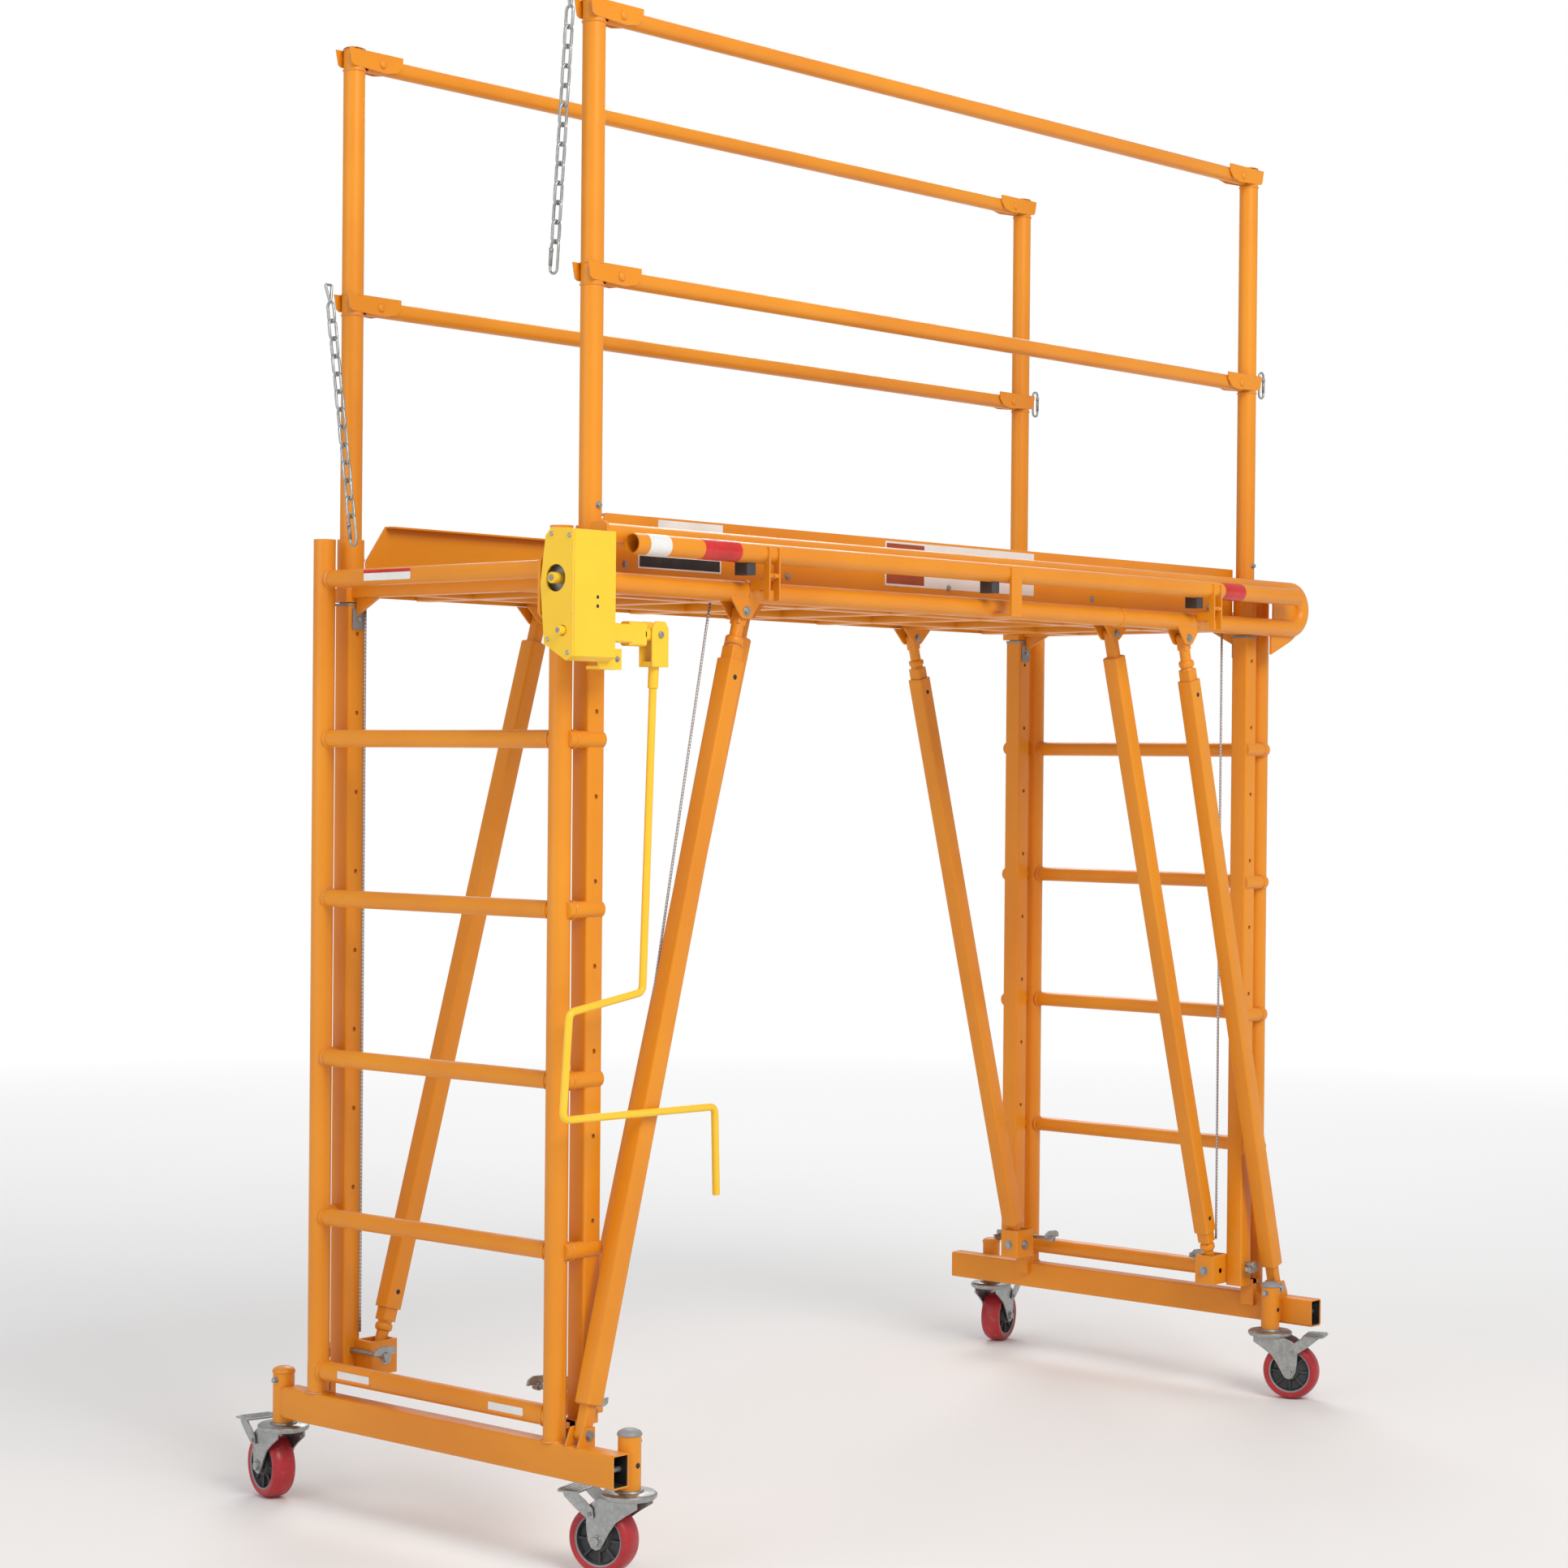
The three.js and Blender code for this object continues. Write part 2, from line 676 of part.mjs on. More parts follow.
// The thin member, drawn along +Z from its own pivot at the origin.
function neckMember(length) {
  const wall = 3;
  const tube = squareBar(INNER_TUBE_W, [NECK_TUBE_FROM, length - NECK_TUBE_SHORT]);
  const bore = squareBar(INNER_TUBE_W - 2 * wall, [NECK_TUBE_FROM + 6, length]);
  const neck = rod([0, 0, 20], [0, 0, NECK_TUBE_FROM + 4], NECK_R, SMALL_SIDES);
  const ring = rod([0, 0, RING_Z[0]], [0, 0, RING_Z[1]], RING_R, SMALL_SIDES);
  return cut(join([tube, eye(0, [0, EYE_PLATE]), neck, ring]), [bore, eyeHole(0)]);
}

// The sleeve, drawn along +Z from the thin member's pivot, with its own pivot at the far end.
function sleeveMember(length) {
  const tube = squareBar(SLEEVE_W, [NECK_LENGTH, length - TONGUE_LENGTH + 4]);
  const bore = squareBar(SLEEVE_BORE, [NECK_LENGTH - 1, length - 70]);
  const end = eye(length, [length - TONGUE_LENGTH, length]);
  return cut(join([tube, end]), [bore, eyeHole(length)]);
}

// neckAtFoot says whether the thin member is at the foot or at the platform.
function brace(name, foot, top, neckAtFoot) {
  const [origin, far] = neckAtFoot ? [foot, top] : [top, foot];
  const along = vector(far).sub(vector(origin));
  const length = along.length();
  const group = new THREE.Group();
  group.position.copy(vector(origin));
  group.rotation.y = Math.atan2(along.x, along.z);
  const [neckName, sleeveName] = neckAtFoot ? ["lower", "upper"] : ["upper", "lower"];
  group.add(
    piece(`${name}_${neckName}_tube`, neckMember(length), ORANGE),
    piece(`${name}_${sleeveName}_tube`, sleeveMember(length), ORANGE),
  );
  return group;
}

function allBraces() {
  const group = new THREE.Group();
  for (const [endName, { sign }] of Object.entries(ENDS)) {
    for (const [sideName, side] of Object.entries(SIDES)) {
      const place = ([x, y, z]) => [sign * x, side * y, z];
      const neckAtFoot = !(endName === "far" && sideName === "rear");
      group.add(
        brace(
          `${endName}_${sideName}_brace`,
          place(FOOT_PIVOT),
          place(INNER_TOP_PIVOT),
          neckAtFoot,
        ),
      );
    }
    const outside = ([x, y, z]) => [sign * x, -y, z];
    group.add(
      brace(
        `${endName}_outer_brace`,
        outside(OUTER_FOOT_PIVOT),
        outside(OUTER_TOP_PIVOT),
        false,
      ),
    );
  }
  return group;
}

// ---------- platform ----------

// A pair of gusset plates that straddle a brace's upper eye, with bolt heads on their outsides.
function gussets([x, y, z], top) {
  const outline = [
    [x - GUSSET_FOOT, z - 14],
    [x + GUSSET_FOOT, z - 14],
    [x + GUSSET_HEAD, top],
    [x - GUSSET_HEAD, top],
  ];
  const near = TONGUE_HALF + LUG_CLEARANCE;
  const outer = near + LUG_T;
  return both.flatMap((s) => [
    plateXZ(outline, ordered(y + s * near, y + s * outer)),
    rod([x, y + s * (outer - 1), z], [x, y + s * (outer + 5), z], GUSSET_BOLT_R, HOLE_SIDES),
  ]);
}

function deckFrame() {
  const body = [];
  const bores = [];
  const reach = BOARD_Y - BOARD_T / 2 - GAP;
  for (const x of CROSS_X) body.push(box(centred(x, CROSS_W), [-reach, reach], CROSS_Z));
  const stringerX = [-END_MEMBER_X[0] - 2, END_MEMBER_X[0] + 2];
  for (const s of both) body.push(box(stringerX, centred(s * STRINGER_Y, STRINGER_W), CROSS_Z));

  for (const end of both) {
    body.push(
      box(times(end, END_MEMBER_X), [-HEAD_Y[0] - 2, HEAD_Y[0] + 2], [CROSS_Z[0], DECK_TOP]),
    );
    for (const side of both) {
      const x = end * MAST_X;
      const y = side * MAST_Y;
      body.push(box(times(end, HEAD_X), times(side, HEAD_Y), HEAD_Z));
      body.push(rod([x, y, HEAD_Z[0]], [x, y, POST_SOCKET_TOP], POST_SOCKET_R));
      bores.push(rod([x, y, POST_Z[0]], [x, y, POST_SOCKET_TOP + 1], POST_R + FREE_FIT));
      const bore = INNER_W + 2 * FREE_FIT;
      bores.push(box(centred(x, bore), centred(y, bore), [HEAD_Z[0] - 1, POST_Z[0] + 1]));
      // Corner gusset under the end member.
      const [gussetIn, gussetOut] = CORNER_GUSSET_Y;
      const corner = [
        [side * gussetIn, CROSS_Z[0] + 1],
        [side * gussetOut, CROSS_Z[0] + 1],
        [side * gussetOut, CROSS_Z[0] - CORNER_GUSSET_DROP],
      ];
      body.push(plateYZ(corner, centred((end * (END_MEMBER_X[0] + END_MEMBER_X[1])) / 2, 6)));
      const [bx, by, bz] = INNER_TOP_PIVOT;
      body.push(...gussets([end * bx, side * by, bz], CROSS_Z[0] + 1));
    }
  }

  // Lock bars beside the front posts.
  const barZ = [POST_SOCKET_TOP - LOCK_BAR_T, POST_SOCKET_TOP];
  for (const barX of LOCK_BAR_X) body.push(box(barX, LOCK_BAR_Y, barZ));

  // Plate that carries the winch, and the block that joins it to the mast's head.
  const plateY = [WINCH_Y[1] + GAP, WINCH_Y[1] + GAP + WINCH_PLATE_T];
  body.push(box([WINCH_X[0], WINCH_PLATE_END], plateY, WINCH_PLATE_Z));
  const blockX = [WINCH_PLATE_END - CROSS_W, WINCH_PLATE_END];
  body.push(box(blockX, [plateY[1] - 1, -HEAD_Y[1] + 1], HEAD_Z));

  return piece("deck_frame", cut(join(body), bores), ORANGE);
}

function deckPanel() {
  const reach = BOARD_Y - BOARD_T / 2 - 1;
  const panel = box(
    [-END_MEMBER_X[0] + GAP, END_MEMBER_X[0] - GAP],
    [-reach, reach],
    [DECK_TOP - DECK_T, DECK_TOP],
  );
  return piece("deck_panel", panel, PLYWOOD);
}

// Side board of the platform: a plate with a flange turned in over the deck.
function sideBoard(sideName) {
  const side = SIDES[sideName];
  const [z0, z1] = BOARD_Z;
  const [slopeX, slopeZ] = BOARD_SLOPE;
  const outline = [
    [-BOARD_X, z0],
    [BOARD_X, z0],
    [BOARD_X, z1],
    [-BOARD_X + slopeX, z1],
    [-BOARD_X, z1 - slopeZ],
  ];
  const web = plateXZ(outline, centred(side * BOARD_Y, BOARD_T));
  const flange = box(
    [-BOARD_X + slopeX, BOARD_X],
    times(side, [BOARD_Y - BOARD_FLANGE, BOARD_Y]),
    [z1 - BOARD_T, z1],
  );
  return piece(`${sideName}_side_board`, web.add(flange), ORANGE);
}

// Round rail outside the front masts, bent back over itself at the far end.
function sideRail() {
  const [low, high] = SIDE_RAIL_Z;
  const [start, bendX] = SIDE_RAIL_X;
  const bendR = (high - low) / 2;
  const middle = (high + low) / 2;
  const straight = (z) =>
    rod([start, SIDE_RAIL_Y, z], [bendX, SIDE_RAIL_Y, z], SIDE_RAIL_R, TUBE_SIDES);
  const halfTurn = new Bend([bendX, SIDE_RAIL_Y, middle], bendR);
  const bend = alongCurve(halfTurn, SIDE_RAIL_R, BEND_STEPS);
  const boardFace = -BOARD_Y - BOARD_T / 2 - GAP;
  const standOffs = STANDOFF_X.map((x) =>
    box(centred(x, STANDOFF_W), [SIDE_RAIL_Y, boardFace], centred(low + 2, STANDOFF_W)),
  );
  const plateZ = [low - END_PLATE_W / 2, high + END_PLATE_W / 2];
  const endPlate = box([start - 4, start + 2], centred(SIDE_RAIL_Y, END_PLATE_W), plateZ);
  const [ox, oy, oz] = OUTER_TOP_PIVOT;
  const hangers = both.flatMap((end) => gussets([end * ox, -oy, oz], low - 6));
  return piece(
    "front_side_rail",
    join([straight(low), straight(high), bend, ...standOffs, endPlate, ...hangers]),
    ORANGE,
  );
}

// Open-ended tube carried in front of the side rail on two H brackets and a strap.
function bumperTube() {
  const along = (x) => [x, BUMPER_Y, BUMPER_Z];
  const tube = rod(along(BUMPER_X[0]), along(BUMPER_X[1]), BUMPER_R);
  const bore = rod(along(BUMPER_X[0] - 1), along(BUMPER_X[1] + 1), BUMPER_R - BUMPER_WALL);
  const back = SIDE_RAIL_Y - SIDE_RAIL_R - GAP;
  const depth = [BUMPER_Y - BUMPER_R - 3, back];
  const height = [SIDE_RAIL_Z[0] - 18, BUMPER_Z + 12];
  const [cheekIn, cheekOut] = BRACKET_CHEEK;
  const brackets = BRACKET_X.flatMap((x) => [
    box([x - cheekOut, x - cheekIn], depth, height),
    box([x + cheekIn, x + cheekOut], depth, height),
    box(centred(x, cheekIn + cheekOut), depth, BRACKET_BRIDGE_Z),
  ]);
  const strap = box(centred(STRAP_X, STRAP_W), [depth[0], depth[0] + STRAP_T], height);
  const footZ = [height[0], height[0] + STRAP_T];
  const strapFoot = box(centred(STRAP_X, STRAP_W), depth, footZ);
  const whole = join([tube.subtract(bore), ...brackets, strap, strapFoot]);
  return piece("front_bumper_tube", whole.subtract(bore), ORANGE);
}

function innerMast(endName, sideName) {
  const x = ENDS[endName].sign * MAST_X;
  const y = SIDES[sideName] * MAST_Y;
  const bore = INNER_W - 2 * INNER_WALL;
  const tube = box(centred(x, INNER_W), centred(y, INNER_W), INNER_Z);
  const inside = box(centred(x, bore), centred(y, bore), [INNER_Z[0] - 1, INNER_Z[1] + 1]);
  return piece(`${endName}_${sideName}_inner_mast`, tube.subtract(inside), ORANGE);
}

// ---------- guardrails ----------

// Inverted channel on a post: a rail end is bolted inside it, and its lip takes a chain.
// x is along the rail, with inboard positive; `end` mirrors it into place.
function railChannel(end, y, z) {
  const outX = (value) => end * (MAST_X - value);
  const wide = CHANNEL_HALF_GAP + CHANNEL_T;
  const out = CHANNEL_OUT;
  const inn = CHANNEL_IN;
  const roof = [
    [outX(-out), y - 7],
    [outX(-out), y + 7],
    [outX(-out + 26), y + wide],
    [outX(inn), y + wide],
    [outX(inn), y - wide],
    [outX(-out + 26), y - wide],
  ];
  const cheek = [
    [outX(-30), z + CHANNEL_ROOF + 1],
    [outX(-24), z - 12],
    [outX(inn - 10), z - 18],
    [outX(inn), z + CHANNEL_ROOF + 1],
  ];
  const cheeks = both.map((s) =>
    plateXZ(cheek, ordered(y + s * CHANNEL_HALF_GAP, y + s * wide)),
  );
  const boltX = outX(GUARD_BOLT_X);
  const bolt = rod([boltX, y - wide, z], [boltX, y + wide, z], GUARD_BOLT_R, HOLE_SIDES);
  const [headR, headT] = GUARD_BOLT_HEAD;
  const heads = both.map((s) =>
    rod([boltX, y + s * (wide - 1), z], [boltX, y + s * (wide + headT), z], headR, HOLE_SIDES),
  );
  const [slotIn, slotOut] = CHAIN_SLOT_X;
  const slotX = ordered(outX(-slotIn), outX(-slotOut));
  const slot = box(slotX, centred(y, CHAIN_SLOT_W), [z + CHANNEL_ROOF - 5, z + CHANNEL_ROOF + 10]);
  const top = plateXY(roof, [z + CHANNEL_ROOF, z + CHANNEL_ROOF + CHANNEL_T]);
  return join([top, ...cheeks, bolt, ...heads]).subtract(slot);
}

function guardPost(endName, sideName) {
  const end = ENDS[endName].sign;
  const x = end * MAST_X;
  const y = SIDES[sideName] * MAST_Y;
  const tube = rod([x, y, POST_Z[0] + GAP], [x, y, RAIL_HEIGHTS.top + 21], POST_R);
  const bore = rod([x, y, POST_Z[0] - 1], [x, y, RAIL_HEIGHTS.top - 10], POST_R - TUBE_WALL);
  const channels = Object.values(RAIL_HEIGHTS).map((z) => railChannel(end, y, z));
  const post = join([tube, ...channels]).subtract(bore);
  return piece(`${endName}_${sideName}_guard_post`, post, ORANGE);
}

function guardRail(sideName, level) {
  const y = SIDES[sideName] * MAST_Y;
  const z = RAIL_HEIGHTS[level];
  const tube = rod([-GUARD_HALF, y, z], [GUARD_HALF, y, z], GUARD_R, RUNG_SIDES);
  const boreR = GUARD_R - RUNG_WALL;
  const bore = rod([-GUARD_HALF - 1, y, z], [GUARD_HALF + 1, y, z], boreR, HOLE_SIDES);
  const holes = both.map((end) => {
    const x = end * (MAST_X - GUARD_BOLT_X);
    return rod([x, y - 20, z], [x, y + 20, z], GUARD_BOLT_R + FREE_FIT, SMALL_SIDES);
  });
  return piece(`${sideName}_${level}_rail`, cut(tube, [bore, ...holes]), ORANGE);
}

// ---------- chains and hooks ----------

// A flat link with pointed ends. It stands in the XZ plane, or in the YZ plane if it is turned.
function ring(width, height, middleZ, turned) {
  const w = width / 2;
  const h = height / 2;
  const outline = [
    [0, -h],
    [w, -h + LINK_WIRE],
    [w, h - LINK_WIRE],
    [0, h],
    [-w, h - LINK_WIRE],
    [-w, -h + LINK_WIRE],
  ].map(([across, z]) => [across, z + middleZ]);
  const plate = turned ? plateYZ : plateXZ;
  const openAcross = centred(0, width - 2 * LINK_WIRE);
  const openThrough = centred(0, LINK_WIRE + 2);
  const openZ = centred(middleZ, height - 2 * LINK_WIRE);
  const opening = turned
    ? box(openThrough, openAcross, openZ)
    : box(openAcross, openThrough, openZ);
  return plate(outline, centred(0, LINK_WIRE)).subtract(opening);
}

// Chain that hangs from the origin: its first link passes through a bracket's slot.
function chainShape() {
  const pitch = LINK_PITCH + LINK_BITE;
  const links = range(CHAIN_LINKS).map((k) => {
    const middleZ = LINK_RISE - k * pitch - LINK_PITCH / 2;
    return ring(LINK_W, LINK_PITCH + 2 * LINK_WIRE, middleZ, k % 2 === 1);
  });
  const hookZ = LINK_RISE - CHAIN_LINKS * pitch - HOOK_HEIGHT / 2 + LINK_WIRE;
  return join([...links, ring(HOOK_W, HOOK_HEIGHT, hookZ, true)]);
}

// Where a chain or hook hangs: the slot in the lip of a rail channel, against its outer end.
function lipGroup(end, side, level) {
  const group = new THREE.Group();
  const x = end * (MAST_X + CHAIN_SLOT_X[1] + 1.5);
  group.position.set(x, side * MAST_Y, RAIL_HEIGHTS[level] + CHANNEL_ROOF + CHANNEL_T / 2);
  return group;
}

function gateChain(sideName) {
  const { level, lean } = CHAINS[sideName];
  const group = lipGroup(-1, SIDES[sideName], level);
  group.rotation.x = THREE.MathUtils.degToRad(lean);
  group.add(piece(`near_${sideName}_chain`, chainShape(), ZINC));
  return group;
}

function restingHook(sideName) {
  const group = lipGroup(1, SIDES[sideName], "mid");
  const hook = ring(HOOK_W, HOOK_HEIGHT, LINK_RISE + LINK_WIRE - HOOK_HEIGHT / 2, false);
  group.add(piece(`far_${sideName}_snap_hook`, hook, ZINC));
  return group;
}

// ---------- winch ----------

// Side outline of the gearbox in the YZ plane, grown outwards by `grow`.
function winchOutline(grow) {
  const [front, back] = WINCH_Y;
  const [bottom, top] = WINCH_Z;
  return [
    [front - grow, bottom + 8 - grow],
    [front + 16, bottom - grow],
    [back - 10 + grow, bottom + 30 - grow],
    [back + grow, bottom + 135],
    [back - 12 + grow, top - 14 + grow],
    [back - 26, top + grow],
    [front - grow, top - 4 + grow],
  ];
}

function winchHousing() {
  const [x0, x1] = WINCH_X;
  const shell = plateYZ(winchOutline(0), [x0 + COVER_T + GAP, x1]);
  const inside = plateYZ(winchOutline(-WINCH_WALL), [x0, x1 - WINCH_WALL]);
  const [iy, iz] = INPUT_AXIS;
  const bearing = rod([x1 - 10, iy, iz], [x1 + 8, iy, iz], BEARING_R);
  const shaftHole = rod([x1 - 20, iy, iz], [x1 + 20, iy, iz], INPUT_HOLE_R);
  const front = WINCH_Y[0];
  const faceHoleX = x1 - 45;
  const faceHoles = both.map((s) => {
    const z = DRUM_AXIS[1] - 40 + s * 8;
    return rod([faceHoleX, front - 5, z], [faceHoleX, front + 5, z], 3.5, SMALL_SIDES);
  });
  const guideX = [x1 - 20, x1 + 36];
  const guideY = iy - CABLE_GUIDE_T;
  const [guideBottom] = CABLE_GUIDE_Z;
  const guide = join([
    box(guideX, [guideY, iy], CABLE_GUIDE_Z),
    box(guideX, [iy, iy + 28], [guideBottom, guideBottom + CABLE_GUIDE_T]),
  ]);
  const body = join([shell.subtract(inside), bearing, guide.subtract(inside)]);
  return piece("winch_housing", cut(body, [shaftHole, ...faceHoles]), YELLOW);
}

function winchCover() {
  const [x0] = WINCH_X;
  const plate = plateYZ(winchOutline(0), [x0, x0 + COVER_T]);
  const [dy, dz] = DRUM_AXIS;
  const [iy, iz] = INPUT_AXIS;
  const drumWindow = rod([x0 - 5, dy, dz], [x0 + 10, dy, dz], DRUM_R);
  const shaftHole = rod([x0 - 5, iy, iz], [x0 + 10, iy, iz], INPUT_HOLE_R);
  const screws = [
    [WINCH_Y[0] + 9, WINCH_Z[1] - 16],
    [WINCH_Y[1] - 28, WINCH_Z[1] - 12],
    [WINCH_Y[1] - 20, WINCH_Z[0] + 38],
    [WINCH_Y[0] + 12, WINCH_Z[0] + 14],
  ].map(([y, z]) => rod([x0 - 3, y, z], [x0 + 1, y, z], 4, HOLE_SIDES));
  return piece("winch_cover", cut(join([plate, ...screws]), [drumWindow, shaftHole]), YELLOW);
}

function cableDrum() {
  const [y, z] = DRUM_AXIS;
  const [x0, x1] = WINCH_X;
  const flangeX = [x0 + 16, x1 - 20];
  const shaft = rod([x0 - 10, y, z], [x1 - 6, y, z], DRUM_SHAFT_R);
  const barrel = rod([flangeX[0] + 1, y, z], [flangeX[1] + 1, y, z], DRUM_R);
  const flanges = flangeX.map((x) => rod([x, y, z], [x + DRUM_FLANGE_T, y, z], DRUM_FLANGE_R));
  return piece("cable_drum", join([shaft, barrel, ...flanges]), YELLOW);
}

// Input shaft, its collar and the flattened eye that the crank's yoke straddles.
function inputShaft() {
  const [y, z] = INPUT_AXIS;
  const [x0, x1] = WINCH_X;
  const shaft = rod([x0 - 12, y, z], [x1 + 20, y, z], INPUT_R);
  const collar = box([x1 + 9, x1 + 56], centred(y, 30), centred(z, 34));
  const fork = box([x1 + 50, JOINT_X - 30], centred(y, 24), centred(z, 44));
  const tip = box([JOINT_X - 34, JOINT_X + 12], centred(y, 24), centred(z, 24));
  const hole = rod([JOINT_X, y - 20, z], [JOINT_X, y + 20, z], PIVOT_R + FREE_FIT, SMALL_SIDES);
  return piece("winch_input_shaft", join([shaft, collar, fork, tip]).subtract(hole), YELLOW);
}

function crank() {
  const [y, z] = INPUT_AXIS;
  const group = new THREE.Group();
  group.position.set(JOINT_X, y, z);
  const yokeX = [-YOKE_HALF, YOKE_HALF];
  const [earIn, earOut] = YOKE_EAR;
  const [yokeBottom] = YOKE_Z;
  const ears = both.map((s) => box(yokeX, ordered(s * earIn, s * earOut), YOKE_Z));
  const bridge = box(yokeX, [-earOut, earOut], [yokeBottom, yokeBottom + YOKE_BRIDGE_T]);
  const pin = rod([0, -earOut - 4, 0], [0, earOut + 4, 0], PIVOT_R, SMALL_SIDES);
  const corners = CRANK_PATH.map(([x, down]) => new THREE.Vector3(x, 0, down));
  const rods = corners.slice(1).map((to, i) => {
    const overlap = to.clone().sub(corners[i]).setLength(CRANK_ROD_R * 0.8);
    const start = corners[i].clone().sub(overlap);
    const end = to.clone().add(overlap);
    return rod(start.toArray(), end.toArray(), CRANK_ROD_R, HOLE_SIDES);
  });
  group.add(piece("winch_crank", join([...ears, bridge, pin, ...rods]), YELLOW));
  return group;
}

// ---------- hoist cables ----------

const CABLES = {
  near_front_cable: [
    [-1058, -353, 309],
    [-775, -353, 1737],
  ],
  far_front_cable: [
    [1024, -287, 352],
    [1024, -287, 1749],
  ],
  near_rear_cable: [
    [-1051, 296, 335],
    [-1051, 296, 1741],
  ],
};
const CABLE_R = 2.5;

// ---------- assembly ----------

const group = new THREE.Group();

const base = new THREE.Group();
for (const endName of Object.keys(ENDS)) {
  base.add(endLadder(endName));
  for (const sideName of Object.keys(SIDES)) {
    base.add(footLatch(endName, sideName), caster(endName, sideName));
  }
}

const platform = new THREE.Group();
platform.add(deckFrame(), deckPanel(), sideRail(), bumperTube());
for (const sideName of Object.keys(SIDES)) {
  platform.add(sideBoard(sideName));
  for (const level of Object.keys(RAIL_HEIGHTS)) platform.add(guardRail(sideName, level));
  for (const endName of Object.keys(ENDS)) {
    platform.add(innerMast(endName, sideName), guardPost(endName, sideName));
  }
  platform.add(restingHook(sideName), gateChain(sideName));
}

const winch = new THREE.Group();
winch.add(winchHousing(), winchCover(), cableDrum(), inputShaft(), crank());

const cables = new THREE.Group();
for (const [name, [from, to]] of Object.entries(CABLES)) {
  cables.add(piece(name, rod(from, to, CABLE_R, 6), STEEL_CABLE));
}

group.add(base, platform, winch, cables, allBraces());

// The pieces are drawn about the middle of the platform. This moves the origin to the floor,
// under the middle of the whole scaffold, casters and winch included.
const bounds = new THREE.Box3().setFromObject(group, true);
const middle = bounds.getCenter(new THREE.Vector3());
group.position.set(-middle.x, -middle.y, -bounds.min.z);

export default group;
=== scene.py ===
"""Baker scaffold: smooth meshes, materials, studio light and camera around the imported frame.

Lengths are in millimetres from the middle of the platform at floor level, until Kit.piece
turns them into metres in the frame's own coordinates.
"""
import math

import bmesh
import bpy
from mathutils import Matrix, Vector


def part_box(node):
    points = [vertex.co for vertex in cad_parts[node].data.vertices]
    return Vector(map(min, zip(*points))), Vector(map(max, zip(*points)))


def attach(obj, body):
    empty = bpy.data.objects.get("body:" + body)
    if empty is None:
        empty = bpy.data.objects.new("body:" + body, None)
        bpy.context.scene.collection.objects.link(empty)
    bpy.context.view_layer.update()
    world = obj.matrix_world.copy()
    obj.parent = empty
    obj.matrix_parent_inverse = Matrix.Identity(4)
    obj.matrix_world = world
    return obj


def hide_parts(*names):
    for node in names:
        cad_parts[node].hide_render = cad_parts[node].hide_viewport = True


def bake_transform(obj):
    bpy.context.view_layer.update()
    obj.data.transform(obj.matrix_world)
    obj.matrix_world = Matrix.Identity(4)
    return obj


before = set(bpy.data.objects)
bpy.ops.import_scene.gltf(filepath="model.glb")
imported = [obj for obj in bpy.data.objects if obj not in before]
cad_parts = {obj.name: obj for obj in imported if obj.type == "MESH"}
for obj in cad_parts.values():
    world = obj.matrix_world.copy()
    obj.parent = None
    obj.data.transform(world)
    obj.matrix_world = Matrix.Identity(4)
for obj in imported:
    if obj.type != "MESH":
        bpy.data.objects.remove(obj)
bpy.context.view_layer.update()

deck_low, deck_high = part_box("deck_panel")
MIDDLE = ((deck_low[0] + deck_high[0]) / 2, (deck_low[1] + deck_high[1]) / 2, 0.0)

X, Y, Z = Vector((1, 0, 0)), Vector((0, 1, 0)), Vector((0, 0, 1))
ENDS = {"near": -1, "far": 1}
SIDES = {"front": -1, "rear": 1}

# ---------- dimensions, the same as the frame's ----------

RAIL_X, RAIL_Y, RAIL_R, RAIL_TOP = 1132, 322, 21, 1860
RUNG_R, RUNG_FIRST, RUNG_PITCH, RUNG_COUNT = 16.5, 565, 304.8, 5
RUNGS = [RUNG_FIRST + RUNG_PITCH * k for k in range(RUNG_COUNT)]
TIE_R, TIE_Z = 19, 270
STUB_Y, STUB_R = 338, 15.5
MAST_X, MAST_Y, MAST_W, MAST_WALL = 1064, 325, 42, 3.2
MAST_Z = (250, 1735)
PIN_R = 4.5
PIN_ABOVE = (50, 202.4)
BEAM_W, BEAM_H, BEAM_Z = 41, 61, 166
BEAM_TOP = BEAM_Z + BEAM_H
BEAM_Y = {"near": (-488, 403), "far": (-491, 550)}
SOCKETS = {
    "near_front": (-1088, -466),
    "near_rear": (-1132, 424),
    "far_front": (1088, -397),
    "far_rear": (1177, 477),
}
SOCKET_R, SOCKET_Z = 21, (155, 251)
CASTER_YAW = {"near_front": 105, "near_rear": 77, "far_front": -70, "far_rear": 14}
WHEEL_R, TRAIL = 63.5, 50
PEDAL_PIVOT = (60, 112)
BOX_X, BOX_Y, BOX_Z, BOX_WALL = (990, 1056), (255, 305), (255, 320), 6
FOOT_PIVOT = (1020, 280, 285)
OUTER_FOOT = (1124, 385, 246)
INNER_TOP = (600, 280, 1730)
OUTER_TOP = (727, 385, 1722)
LATCH_Z, LATCH_Y = 300, (208, 362)
POST_TOP = 2807
RAIL_HEIGHTS = {"mid": 2315, "top": 2786}
SIDE_RAIL_Y, SIDE_RAIL_Z, SIDE_RAIL_R = -385, (1759, 1845), 20
BUMPER_Y, BUMPER_Z, BUMPER_R = -430, 1828, 19
BUMPER_X = (-1064, 1118)
BRACKETS_X, STRAP_X, DARK_BLOCKS_X = (-705, 765), (18, 52), (-753, -15, 717)
DECK_TOP = 1790
DECK_CROSS_X = range(-900, 901, 300)
DECK_TUBE_Z, DECK_FRAME_BOTTOM = 1760.5, 1751
POST_SOCKET_R, POST_SOCKET_Z = 26, (1766, 1862)
LOCK_BARS_X = ((-MAST_X, -908), (1016, 1168))
BOARD_Y, BOARD_Z, BOARD_X = 300, (1752, 1892), 1048
